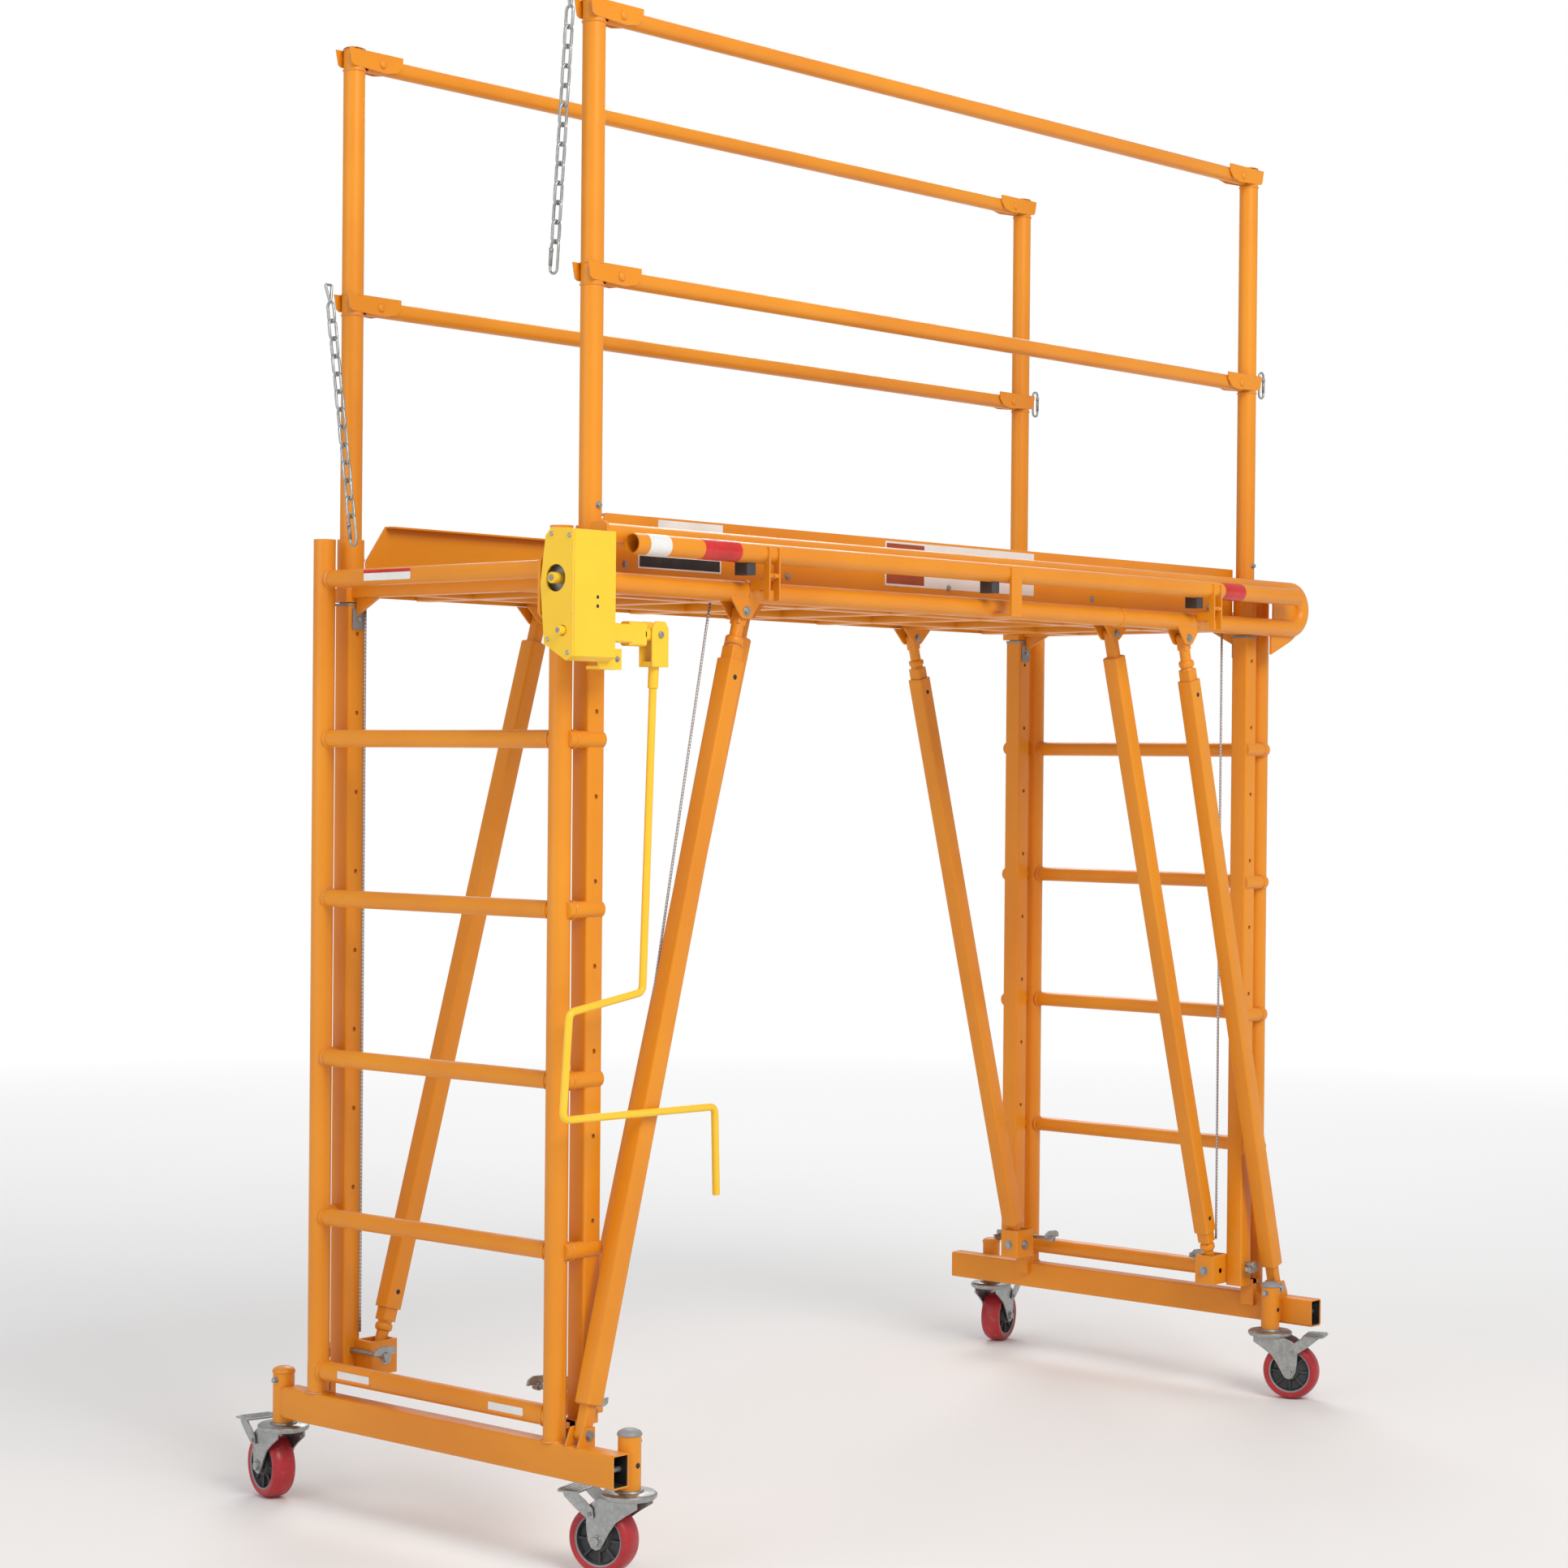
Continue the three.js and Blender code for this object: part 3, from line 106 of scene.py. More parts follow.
WINCH_X, WINCH_Y, WINCH_Z = (-1224, -1117), (-443, -362), (1615, 1849)
DRUM_AXIS, INPUT_AXIS, JOINT_X = (-400, 1760), (-418, 1668), -993
CABLE_GUIDE_Z = (1603, 1640)

# ---------- materials ----------


def material(name, build):
    made = bpy.data.materials.new(name)
    made.use_nodes = True
    tree = made.node_tree
    build(Nodes(tree), tree.nodes["Principled BSDF"])
    return made


class Nodes:
    """Short calls for the shader nodes that the materials share."""

    def __init__(self, tree):
        self.tree = tree
        self.place = self.add("ShaderNodeTexCoord").outputs["Object"]

    def add(self, kind, **settings):
        node = self.tree.nodes.new(kind)
        for key, value in settings.items():
            setattr(node, key, value)
        return node

    def link(self, source, target):
        self.tree.links.new(source, target)

    def stretched(self, scale):
        node = self.add("ShaderNodeMapping")
        node.inputs["Scale"].default_value = scale
        self.link(self.place, node.inputs["Vector"])
        return node.outputs["Vector"]

    def noise(self, scale, detail=4.0, rough=0.55, vector=None):
        node = self.add("ShaderNodeTexNoise")
        node.inputs["Scale"].default_value = scale
        node.inputs["Detail"].default_value = detail
        node.inputs["Roughness"].default_value = rough
        self.link(vector or self.place, node.inputs["Vector"])
        return node.outputs["Fac"]

    def between(self, value, low, high, out_low=0.0, out_high=1.0):
        node = self.add("ShaderNodeMapRange")
        node.inputs["From Min"].default_value = low
        node.inputs["From Max"].default_value = high
        node.inputs["To Min"].default_value = out_low
        node.inputs["To Max"].default_value = out_high
        self.link(value, node.inputs["Value"])
        return node.outputs["Result"]

    def maths(self, operation, a, b):
        node = self.add("ShaderNodeMath", operation=operation)
        for socket, value in zip(node.inputs, (a, b)):
            if isinstance(value, (int, float)):
                socket.default_value = value
            else:
                self.link(value, socket)
        return node.outputs["Value"]

    def mix(self, factor, a, b):
        node = self.add("ShaderNodeMix", data_type="RGBA")
        for socket, value in zip((node.inputs[0], node.inputs[6], node.inputs[7]), (factor, a, b)):
            if isinstance(value, (int, float)):
                socket.default_value = value
            elif isinstance(value, tuple):
                socket.default_value = (*value, 1.0)
            else:
                self.link(value, socket)
        return node.outputs[2]

    def bump(self, height, strength, distance, shader):
        node = self.add("ShaderNodeBump")
        node.inputs["Strength"].default_value = strength
        node.inputs["Distance"].default_value = distance
        self.link(height, node.inputs["Height"])
        self.link(node.outputs["Normal"], shader.inputs["Normal"])

    def edges(self):
        """Worn edges: where a rounded normal leaves the surface's own, broken up by noise."""
        rounded = self.add("ShaderNodeBevel", samples=4)
        rounded.inputs["Radius"].default_value = 0.0025
        meeting = self.add("ShaderNodeVectorMath", operation="DOT_PRODUCT")
        self.link(rounded.outputs["Normal"], meeting.inputs[0])
        self.link(self.add("ShaderNodeNewGeometry").outputs["Normal"], meeting.inputs[1])
        sharp = self.between(meeting.outputs["Value"], 0.985, 0.9)
        return self.maths("MULTIPLY", sharp, self.between(self.noise(45), 0.5, 0.66, 0.0, 0.75))

    def facing_up(self):
        node = self.add("ShaderNodeSeparateXYZ")
        self.link(self.add("ShaderNodeNewGeometry").outputs["Normal"], node.inputs["Vector"])
        return self.between(node.outputs["Z"], 0.6, 1.0)


def painted(base, shade, chip, roughness):
    """Powder coat: orange peel, soft colour drift, dust on top faces, chipped edges."""

    def build(n, shader):
        drift = n.mix(n.between(n.noise(2.2), 0.35, 0.7), base, shade)
        speck = n.between(n.noise(260, 2.0), 0.70, 0.76, 0.0, 0.35)
        specked = n.mix(speck, drift, shade)
        dust = n.maths("MULTIPLY", n.facing_up(), n.between(n.noise(14), 0.4, 0.75, 0.0, 0.22))
        dusty = n.mix(dust, specked, (0.62, 0.55, 0.45))
        scuff = n.noise(30, 6.0, 0.7, n.stretched((1, 1, 8)))
        scuffed = n.mix(n.between(scuff, 0.66, 0.72, 0.0, 0.3), dusty, shade)
        worn = n.mix(n.edges(), scuffed, chip)
        n.link(worn, shader.inputs["Base Color"])
        n.link(n.between(n.noise(9), 0.3, 0.7, roughness - 0.07, roughness + 0.09),
               shader.inputs["Roughness"])
        shader.inputs["Specular IOR Level"].default_value = 0.35
        shader.inputs["Coat Weight"].default_value = 0.12
        shader.inputs["Coat Roughness"].default_value = 0.2
        n.bump(n.noise(420, 2.0), 0.12, 0.0004, shader)

    return build


def plated(base, shade, roughness, metallic=0.92, grain=(1, 1, 1)):
    """Zinc plate: crystal patches, faint brushing and dull spots."""

    def build(n, shader):
        cells = n.add("ShaderNodeTexVoronoi")
        cells.inputs["Scale"].default_value = 120
        n.link(n.place, cells.inputs["Vector"])
        patch = n.between(cells.outputs["Distance"], 0.1, 0.8, 0.0, 0.5)
        tone = n.mix(patch, base, shade)
        dull = n.between(n.noise(22), 0.5, 0.75, 0.0, 0.5)
        n.link(n.mix(dull, tone, shade), shader.inputs["Base Color"])
        n.link(n.between(n.noise(40), 0.3, 0.7, roughness - 0.08, roughness + 0.15),
               shader.inputs["Roughness"])
        shader.inputs["Metallic"].default_value = metallic
        n.bump(n.noise(180, 5.0, 0.6, n.stretched(grain)), 0.15, 0.0003, shader)

    return build


def moulded(base, shade, roughness, scuff=0.35):
    """Moulded plastic, rubber or polyurethane: mottling, scuffs and a fine texture."""

    def build(n, shader):
        mottle = n.mix(n.between(n.noise(16), 0.35, 0.7), base, shade)
        marks = n.between(n.noise(70, 6.0, 0.7), 0.58, 0.72, 0.0, scuff)
        n.link(n.mix(marks, mottle, (0.35, 0.3, 0.28)), shader.inputs["Base Color"])
        n.link(n.between(n.noise(35), 0.3, 0.7, roughness - 0.08, roughness + 0.14),
               shader.inputs["Roughness"])
        n.bump(n.noise(300, 3.0), 0.2, 0.0004, shader)

    return build


def plywood_build(n, shader):
    grain = n.noise(9, 8.0, 0.65, n.stretched((0.6, 14, 14)))
    wood = n.mix(n.between(grain, 0.35, 0.68), (0.60, 0.42, 0.24), (0.36, 0.23, 0.12))
    stains = n.between(n.noise(4), 0.55, 0.7, 0.0, 0.4)
    n.link(n.mix(stains, wood, (0.25, 0.19, 0.14)), shader.inputs["Base Color"])
    n.link(n.between(grain, 0.3, 0.7, 0.55, 0.8), shader.inputs["Roughness"])
    n.bump(grain, 0.3, 0.0006, shader)


def strand_build(n, shader):
    """Wire rope: slanting strands."""
    wave = n.add("ShaderNodeTexWave", wave_type="BANDS", bands_direction="DIAGONAL")
    wave.inputs["Scale"].default_value = 90
    wave.inputs["Distortion"].default_value = 0.4
    n.link(n.place, wave.inputs["Vector"])
    tone = n.mix(wave.outputs["Fac"], (0.30, 0.31, 0.32), (0.66, 0.67, 0.68))
    n.link(tone, shader.inputs["Base Color"])
    shader.inputs["Metallic"].default_value = 0.85
    shader.inputs["Roughness"].default_value = 0.38
    n.bump(wave.outputs["Fac"], 0.6, 0.0008, shader)


ORANGE = material("orange_coat",
                  painted((0.79, 0.285, 0.010), (0.70, 0.225, 0.008), (0.33, 0.29, 0.25), 0.38))
YELLOW = material("yellow_paint",
                  painted((0.95, 0.60, 0.035), (0.84, 0.48, 0.02), (0.32, 0.30, 0.27), 0.34))
ZINC = material("zinc_plate", plated((0.46, 0.48, 0.47), (0.27, 0.28, 0.28), 0.38))
STEEL = material("dull_steel", plated((0.36, 0.36, 0.36), (0.20, 0.20, 0.20), 0.48, 0.8))
RED = material("red_polyurethane", moulded((0.48, 0.022, 0.03), (0.33, 0.012, 0.018), 0.36))
CHARCOAL = material("charcoal_grey", moulded((0.055, 0.056, 0.06), (0.03, 0.03, 0.033), 0.5, 0.2))
GREY = material("grey_nylon", moulded((0.30, 0.31, 0.32), (0.22, 0.22, 0.23), 0.5, 0.2))
# Black for printed marks and small dark dots, and for the painted shade inside the open beam mouths.
BLACK = material("black_marks_and_painted_shade", moulded((0.02, 0.02, 0.021), (0.012, 0.012, 0.012), 0.6, 0.15))
WHITE = material("white_label", moulded((0.80, 0.79, 0.76), (0.72, 0.71, 0.68), 0.42, 0.12))
AMBER = material("amber_label", moulded((0.88, 0.25, 0.03), (0.80, 0.20, 0.02), 0.42, 0.12))
RUST_LABEL = material("rust_label", moulded((0.36, 0.07, 0.02), (0.29, 0.05, 0.015), 0.42, 0.12))
RED_LABEL = material("red_reflector", moulded((0.62, 0.02, 0.02), (0.48, 0.012, 0.012), 0.25, 0.08))
PLYWOOD = material("plywood_face", plywood_build)
STRAND = material("wire_rope", strand_build)

# ---------- mesh building ----------


def circle(radius, count=28):
    return [
        (radius * math.cos(2 * math.pi * i / count), radius * math.sin(2 * math.pi * i / count))
        for i in range(count)
    ]


def rounded_rectangle(width, height, corner, steps=4):
    points = []
    for quarter, (sx, sy) in enumerate(((1, 1), (-1, 1), (-1, -1), (1, -1))):
        for i in range(steps + 1):
            angle = math.pi / 2 * (quarter + i / steps)
            points.append((
                sx * (width / 2 - corner) + corner * math.cos(angle),
                sy * (height / 2 - corner) + corner * math.sin(angle),
            ))
    return points


def rounded_path(points, radius, steps=8):
    """The polyline with its inner corners turned into arcs."""
    points = [Vector(p) for p in points]
    out = [points[0]]
    for before, corner, after in zip(points, points[1:], points[2:]):
        a, b = (before - corner).normalized(), (after - corner).normalized()
        angle = a.angle(b)
        back = min(radius / math.tan(angle / 2), (before - corner).length * 0.45,
                   (after - corner).length * 0.45)
        start, end = corner + a * back, corner + b * back
        for i in range(steps + 1):
            t = i / steps
            out.append(start * (1 - t) ** 2 + corner * 2 * t * (1 - t) + end * t ** 2)
    out.append(points[-1])
    return out


def rounded_loop(points, radius):
    """A closed outline with every corner turned into an arc."""
    middle = (points[0] + points[-1]) / 2
    return rounded_path([middle, *points, middle], radius)[:-1]


def arc(centre, radius, start, end, across=X, up=Z, steps=16):
    """Points on an arc in the plane of two directions, with angles in degrees."""
    centre = Vector(centre)
    angles = [math.radians(start + (end - start) * i / steps) for i in range(steps + 1)]
    return [centre + across * radius * math.cos(a) + up * radius * math.sin(a) for a in angles]


class Kit:
    """Collects shapes, then makes one object that stands for a CAD node."""

    def __init__(self, place=None):
        self.mesh = bmesh.new()
        self.materials = []
        self.place = place or Matrix.Identity(4)

    def slot(self, look):
        if look not in self.materials:
            self.materials.append(look)
        return self.materials.index(look)

    def face(self, corners, index):
        try:
            made = self.mesh.faces.new(corners)
        except ValueError:
            return
        made.material_index = index
        made.smooth = True

    def sweep(self, path, outline, look, inner=None, side=Y, closed=False):
        """An outline carried along a path. With an inner outline, the piece is a tube."""
        path = [Vector(p) for p in path]
        last = len(path) - 1
        index = self.slot(look)
        rings = [[], []]
        for i, point in enumerate(path):
            before = path[i - 1] if (i or closed) else point
            after = path[(i + 1) % len(path)] if (i < last or closed) else point
            along = (after - before).normalized()
            side = (side - along * side.dot(along)).normalized()
            up = along.cross(side)
            for ring, shape in zip(rings, (outline, inner)):
                if shape:
                    ring.append([
                        self.mesh.verts.new(self.place @ (point + side * u + up * v))
                        for u, v in shape
                    ])
        for ring, shape in zip(rings, (outline, inner)):
            if not shape:
                continue
            pairs = list(zip(ring, ring[1:])) + ([(ring[-1], ring[0])] if closed else [])
            for a, b in pairs:
                for k in range(len(shape)):
                    m = (k + 1) % len(shape)
                    quad = [a[k], a[m], b[m], b[k]]
                    self.face(quad if shape is outline else quad[::-1], index)
        if closed:
            return
        outer_rings, inner_rings = rings
        for end, flip in ((0, True), (last, False)):
            if inner:
                for k in range(len(outline)):
                    m = (k + 1) % len(outline)
                    quad = [outer_rings[end][k], outer_rings[end][m],
                            inner_rings[end][m], inner_rings[end][k]]
                    self.face(quad[::-1] if flip else quad, index)
            else:
                cap = outer_rings[end]
                self.face(cap[::-1] if flip else cap, index)

    def rod(self, a, b, radius, look, wall=None, count=28):
        """A round bar, or a tube if it has a wall."""
        along = Vector(b) - Vector(a)
        side = X if abs(along.normalized().dot(Y)) > 0.9 else Y
        inner = circle(radius - wall, count) if wall else None
        self.sweep([a, b], circle(radius, count), look, inner, side)

    def pipe(self, path, radius, look, wall=None, side=Y, closed=False, count=20):
        inner = circle(radius - wall, count) if wall else None
        self.sweep(path, circle(radius, count), look, inner, side, closed)

    def beam(self, a, b, width, height, look, wall=None, corner=4, side=Y):
        """A rectangular bar or tube: width runs along `side`, height across it."""
        inner = None
        if wall:
            inner = rounded_rectangle(width - 2 * wall, height - 2 * wall, max(corner - wall, 0.8))
        self.sweep([a, b], rounded_rectangle(width, height, corner), look, inner, side)

    def box(self, xs, ys, zs, look):
        (x0, x1), (y0, y1), (z0, z1) = (sorted(v) for v in (xs, ys, zs))
        self.plate([(x0, y0), (x1, y0), (x1, y1), (x0, y1)], (z0, z1), look)

    def plate(self, outline, span, look, plane="XY"):
        """A flat outline given thickness across its plane."""
        put = {
            "XY": lambda u, v, w: (u, v, w),
            "XZ": lambda u, v, w: (u, w, v),
            "YZ": lambda u, v, w: (w, u, v),
        }[plane]
        index = self.slot(look)
        low, high = [
            [self.mesh.verts.new(self.place @ Vector(put(u, v, w))) for u, v in outline]
            for w in sorted(span)
        ]
        count = len(outline)
        new = [low[::-1], high] + [
            [low[k], low[(k + 1) % count], high[(k + 1) % count], high[k]] for k in range(count)
        ]
        for corners in new:
            self.face(corners, index)

    def lathe(self, profile, centre, axis, look, count=40):
        """A profile of (radius, distance along the axis) turned about the axis."""
        axis = axis.normalized()
        side = (X if abs(axis.dot(Y)) > 0.9 else Y)
        side = (side - axis * side.dot(axis)).normalized()
        up = axis.cross(side)
        centre = Vector(centre)
        index = self.slot(look)
        rings = []
        for radius, along in profile:
            middle = centre + axis * along
            if radius == 0:
                rings.append([self.mesh.verts.new(self.place @ middle)] * count)
                continue
            rings.append([
                self.mesh.verts.new(self.place @ (
                    middle + side * radius * math.cos(2 * math.pi * k / count)
                    + up * radius * math.sin(2 * math.pi * k / count)))
                for k in range(count)
            ])
        for a, b in zip(rings, rings[1:]):
            for k in range(count):
                m = (k + 1) % count
                corners = list(dict.fromkeys([a[k], a[m], b[m], b[k]]))
                if len(corners) > 2:
                    self.face(corners, index)

    def bolt(self, at, direction, radius, look=None, height=6):
        """A hexagon head on a washer, standing up from `at`."""
        look = look or ZINC
        start, direction = Vector(at), direction.normalized()
        self.lathe([(0, 0), (radius * 1.35, 0), (radius * 1.35, 1.4), (0, 1.4)],
                   start, direction, look, 24)
        self.rod(start + direction, start + direction * height, radius, look, count=6)

    def weld(self, centre, axis, radius, look, bead=2.6):
        """A rippled bead round a joint."""
        axis = axis.normalized()
        across = X if abs(axis.dot(X)) < 0.9 else Y
        across = (across - axis * across.dot(axis)).normalized()
        up = axis.cross(across)
        count = 36
        path = []
        for k in range(count):
            angle = 2 * math.pi * k / count
            ripple = 0.45 if k % 2 else -0.2
            reach = radius + ripple
            path.append(Vector(centre) + across * reach * math.cos(angle)
                        + up * reach * math.sin(angle))
        self.pipe(path, bead, look, side=axis, closed=True, count=8)

    def include(self, mesh, look):
        """Adds a finished mesh."""
        index = self.slot(look)
        first = len(self.mesh.faces)
        self.mesh.from_mesh(mesh)
        self.mesh.faces.ensure_lookup_table()
        for made in self.mesh.faces[first:]:
            made.material_index = index
            made.smooth = True

    def piece(self, node, body, record_slot, bevel=1.0):
        """The finished object for a CAD node, in metres and in the frame's coordinates."""
        bmesh.ops.recalc_face_normals(self.mesh, faces=self.mesh.faces)
        self.mesh.transform(Matrix.Translation(MIDDLE) @ Matrix.Scale(0.001, 4))
        name = f"{node}_fine"
        data = bpy.data.meshes.new(name)
        self.mesh.to_mesh(data)
        self.mesh.free()
        for look in self.materials:
            data.materials.append(look)
        made = bpy.data.objects.new(name, data)
        bpy.context.scene.collection.objects.link(made)
        if bevel:
            rounding = made.modifiers.new("rounded_edges", "BEVEL")
            rounding.width = bevel / 1000
            rounding.segments = 2
            rounding.limit_method = "ANGLE"
            rounding.angle_limit = math.radians(40)
            rounding.harden_normals = True
        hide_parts(node)
        if body:
            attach(made, body)
        return made


def drilled(build, cutters):
    """A mesh with round holes cut through it. Cutters are (from, to, radius)."""
    solid, tools = Kit(), Kit()
    build(solid)
    for a, b, radius in cutters:
        tools.rod(a, b, radius, STEEL, count=20)
    made = []
    for kit in (solid, tools):
        bmesh.ops.recalc_face_normals(kit.mesh, faces=kit.mesh.faces)
        data = bpy.data.meshes.new("cutting")
        kit.mesh.to_mesh(data)
        kit.mesh.free()
        thing = bpy.data.objects.new("cutting", data)
        bpy.context.scene.collection.objects.link(thing)
        made.append(thing)
    cut = made[0].modifiers.new("holes", "BOOLEAN")
    cut.object = made[1]
    cut.operation = "DIFFERENCE"
    cut.solver = "EXACT"
    graph = bpy.context.evaluated_depsgraph_get()
    graph.update()
    result = bpy.data.meshes.new_from_object(made[0].evaluated_get(graph))
    for thing in made:
        bpy.data.objects.remove(thing)
    return result


# ---------- end ladders ----------


def foot_box(kit, end, side):
    """Open-topped box beside the mast's foot, with the brace's pin through it."""
    x0, x1 = (end * v for v in BOX_X)
    y0, y1 = (side * v for v in BOX_Y)
    wall = BOX_WALL
    px, py, pz = end * FOOT_PIVOT[0], side * FOOT_PIVOT[1], FOOT_PIVOT[2]
    cx, cy = (x0 + x1) / 2, (y0 + y1) / 2
    kit.beam((cx, cy, BOX_Z[0]), (cx, cy, BOX_Z[1]), abs(x1 - x0), abs(y1 - y0), ORANGE, wall, 3,
             side=X)
    kit.box((x0 + end * wall, x1 - end * wall), (y0 + side * wall, y1 - side * wall),
            (BOX_Z[0] + 0.4, BOX_Z[0] + wall), ORANGE)
    kit.rod((px, y0, pz), (px, y1, pz), 6, ZINC)
    kit.bolt((px, y0, pz), Y * -side, 9)
    kit.bolt((x0, py, pz), X * -end, 8)


def caster_socket(kit, name, end):
    x, y = SOCKETS[name]
    beam_x = end * RAIL_X
    on_beam = x == beam_x
    away = end if on_beam else (1 if x > beam_x else -1)
    bottom, top = SOCKET_Z
    kit.rod((x, y, bottom), (x, y, top), SOCKET_R, ORANGE, wall=8)
    kit.lathe([(0, 0.5), (22.5, 0.5), (22.5, 3.5), (19.5, 8), (12, 11.5), (0, 13)],
              (x, y, top), Z, GREY if name.endswith("front") else ORANGE, 32)
    if on_beam:
        kit.box((x - 19, x + 19), (y, y - 30), (172, 223), ORANGE)
    else:
        beam_face = beam_x + away * (BEAM_W / 2 - 1.5)
        kit.box((x, beam_face), (y - 12, y + 12), (172, 218.8), ORANGE)
        kit.box((x, beam_face), (y - 14, y + 14), (219, 224), ORANGE)
    kit.bolt((x + away * (SOCKET_R - 1), y, 238), X * away, 5.5, height=7)
    drain_z = 200
    kit.rod((x, y - SOCKET_R - 0.4, drain_z), (x, y - SOCKET_R + 0.6, drain_z), 5, BLACK)


def outer_brace_lug(kit, end):
    x, y, z = OUTER_FOOT
    for s in (-1, 1):
        near = -y + s * 13
        outline = [
            (end * (x - 14), BEAM_TOP - 20), (end * (x + 28), BEAM_TOP - 20),
            (end * (x + 28), BEAM_TOP + 4), (end * (x + 14), z + 14), (end * (x - 14), z + 14),
        ]
        kit.plate(outline, (near, near + s * 4), ORANGE, "XZ")
        kit.bolt((end * x, near + s * 4, z), Y * s, 7.5, height=5)
    kit.rod((end * x, -y - 17, z), (end * x, -y + 17, z), 6, ZINC)


def mast_with_holes(end, side):
    x, y = end * MAST_X, side * MAST_Y
    holes = [
        ((x, y - 40, z + above), (x, y + 40, z + above), PIN_R)
        for z in RUNGS[:-1] for above in PIN_ABOVE
    ]
    holes.append(((x, y - 40, LATCH_Z), (x, y + 40, LATCH_Z), 5.4))

    def build(kit):
        kit.beam((x, y, MAST_Z[0]), (x, y, MAST_Z[1]), MAST_W, MAST_W, ORANGE, MAST_WALL, 5)

    return drilled(build, holes)


def end_ladder(name, end):
    kit = Kit()
    x = end * RAIL_X
    for side in SIDES.values():
        y, mast_y = side * RAIL_Y, side * MAST_Y
        kit.rod((x, y, BEAM_TOP - 1), (x, y, RAIL_TOP), RAIL_R, ORANGE, wall=3, count=36)
        kit.weld((x, y, BEAM_TOP), Z, RAIL_R + 0.5, ORANGE)
        kit.include(mast_with_holes(end, side), ORANGE)
        kit.beam((end * MAST_X, mast_y, MAST_Z[1]), (end * MAST_X, mast_y, MAST_Z[1] + 5),
                 MAST_W + 2, MAST_W + 2, GREY, 4.6, 5)
        outward = MAST_X + MAST_W / 2 - 2
        kit.box((end * outward, end * (RAIL_X - 8)), (mast_y - 17, mast_y + 17), (250, 260), ORANGE)
        kit.box((end * 1100, end * 1114), (mast_y - 17, mast_y + 17), (200, 260), ORANGE)
        for z in RUNGS[:-1]:
            stub_y = side * STUB_Y
            kit.rod((x, stub_y, z), (end * (MAST_X - 19), stub_y, z), STUB_R, ORANGE)
            kit.weld((end * (RAIL_X - 16), stub_y, z), X, STUB_R, ORANGE, 2.2)
        # Sliding liner and its glide block at the mouth of the mast.
        inner_y = side * (MAST_Y - MAST_W / 2 - 1)
        kit.box((end * (MAST_X - 14), end * (MAST_X + 14)), (inner_y, inner_y - side * 3),
                (1690, 1730), GREY)
        kit.bolt((end * MAST_X, inner_y - side * 3, 1709), Y * -side, 4, height=4)
        foot_box(kit, end, side)
    for z in RUNGS + [TIE_Z]:
        radius = TIE_R if z == TIE_Z else RUNG_R
        kit.rod((x, -RAIL_Y, z), (x, RAIL_Y, z), radius, ORANGE)
        for side in (-1, 1):
            kit.weld((x, side * (RAIL_Y - RAIL_R + 1), z), Y, radius + 0.3, ORANGE)
    y0, y1 = BEAM_Y[name]
    mid_z = BEAM_Z + BEAM_H / 2
    kit.beam((x, y0, mid_z), (x, y1, mid_z), BEAM_W, BEAM_H, ORANGE, 3, 5, side=X)
    # The black liner and black sheet inside each open beam mouth are painted shade of the hollow beam's
    # inside; the zinc bolt across the mouth is real.
    for mouth, inward in ((y0, 1), (y1, -1)):
        kit.beam((x, mouth + inward * 2, mid_z), (x, mouth + inward * 70, mid_z),
                 BEAM_W - 6.6, BEAM_H - 6.6, BLACK, 0.6, 2, side=X)
        shade_sheet_y = mouth + inward * 60
        kit.box((x - 16, x + 16), (shade_sheet_y, shade_sheet_y + inward * 2), (BEAM_Z + 4, BEAM_TOP - 4), BLACK)
        bolt_y = mouth + inward * 20
        kit.rod((x - 16, bolt_y, mid_z), (x + 16, bolt_y, mid_z), 5.5, ZINC)
    outer_brace_lug(kit, end)
    for side_name in SIDES:
        caster_socket(kit, f"{name}_{side_name}", end)
    if name == "near":
        crossbar_z = RUNGS[-1]
        face = x - RUNG_R
        sticker(kit, "YZ", face - 0.3, (60, 190), (crossbar_z - 8, crossbar_z + 12), WHITE)
        sticker(kit, "YZ", face - 0.5, (60, 190), (crossbar_z + 6, crossbar_z + 12), RED_LABEL)
        for middle in (-215, 200):
            wide = (middle - 45, middle + 45)
            sticker(kit, "YZ", x - TIE_R - 0.3, wide, (TIE_Z - 9, TIE_Z + 9), WHITE)
            sticker(kit, "YZ", x - TIE_R - 0.6, wide, (TIE_Z - 9, TIE_Z - 5), AMBER)
    kit.piece(f"{name}_end_ladder", "base", "orange_powder_coat")


def sticker(kit, plane, at, us, vs, look):
    """A thin plain label standing just proud of a face."""
    (u0, u1), (v0, v1) = us, vs
    kit.plate([(u0, v0), (u1, v0), (u1, v1), (u0, v1)], (at, at + 0.5), look, plane)


def foot_latch(name, end, side):
    kit = Kit()
    x, z = end * MAST_X, LATCH_Z
    kit.rod((x, side * LATCH_Y[0], z), (x, side * LATCH_Y[1], z), 5, ZINC)
    for y, up in zip(LATCH_Y, (1, -1)):
        outline = [(x - 27, z + up * 3), (x + 27, z + up * 3), (x + 25, z + up * 14),
                   (x + 18, z + up * 18), (x - 12, z + up * 20), (x - 24, z + up * 13)]
        kit.plate(outline, (side * y - 2.5, side * y + 2.5), ZINC, "XZ")
        kit.rod((x, side * (y - 7), z), (x, side * (y + 7), z), 8, ZINC)
    node = f"{name}_foot_latch"
    kit.piece(node, node, "zinc", bevel=1.2)


# ---------- casters ----------


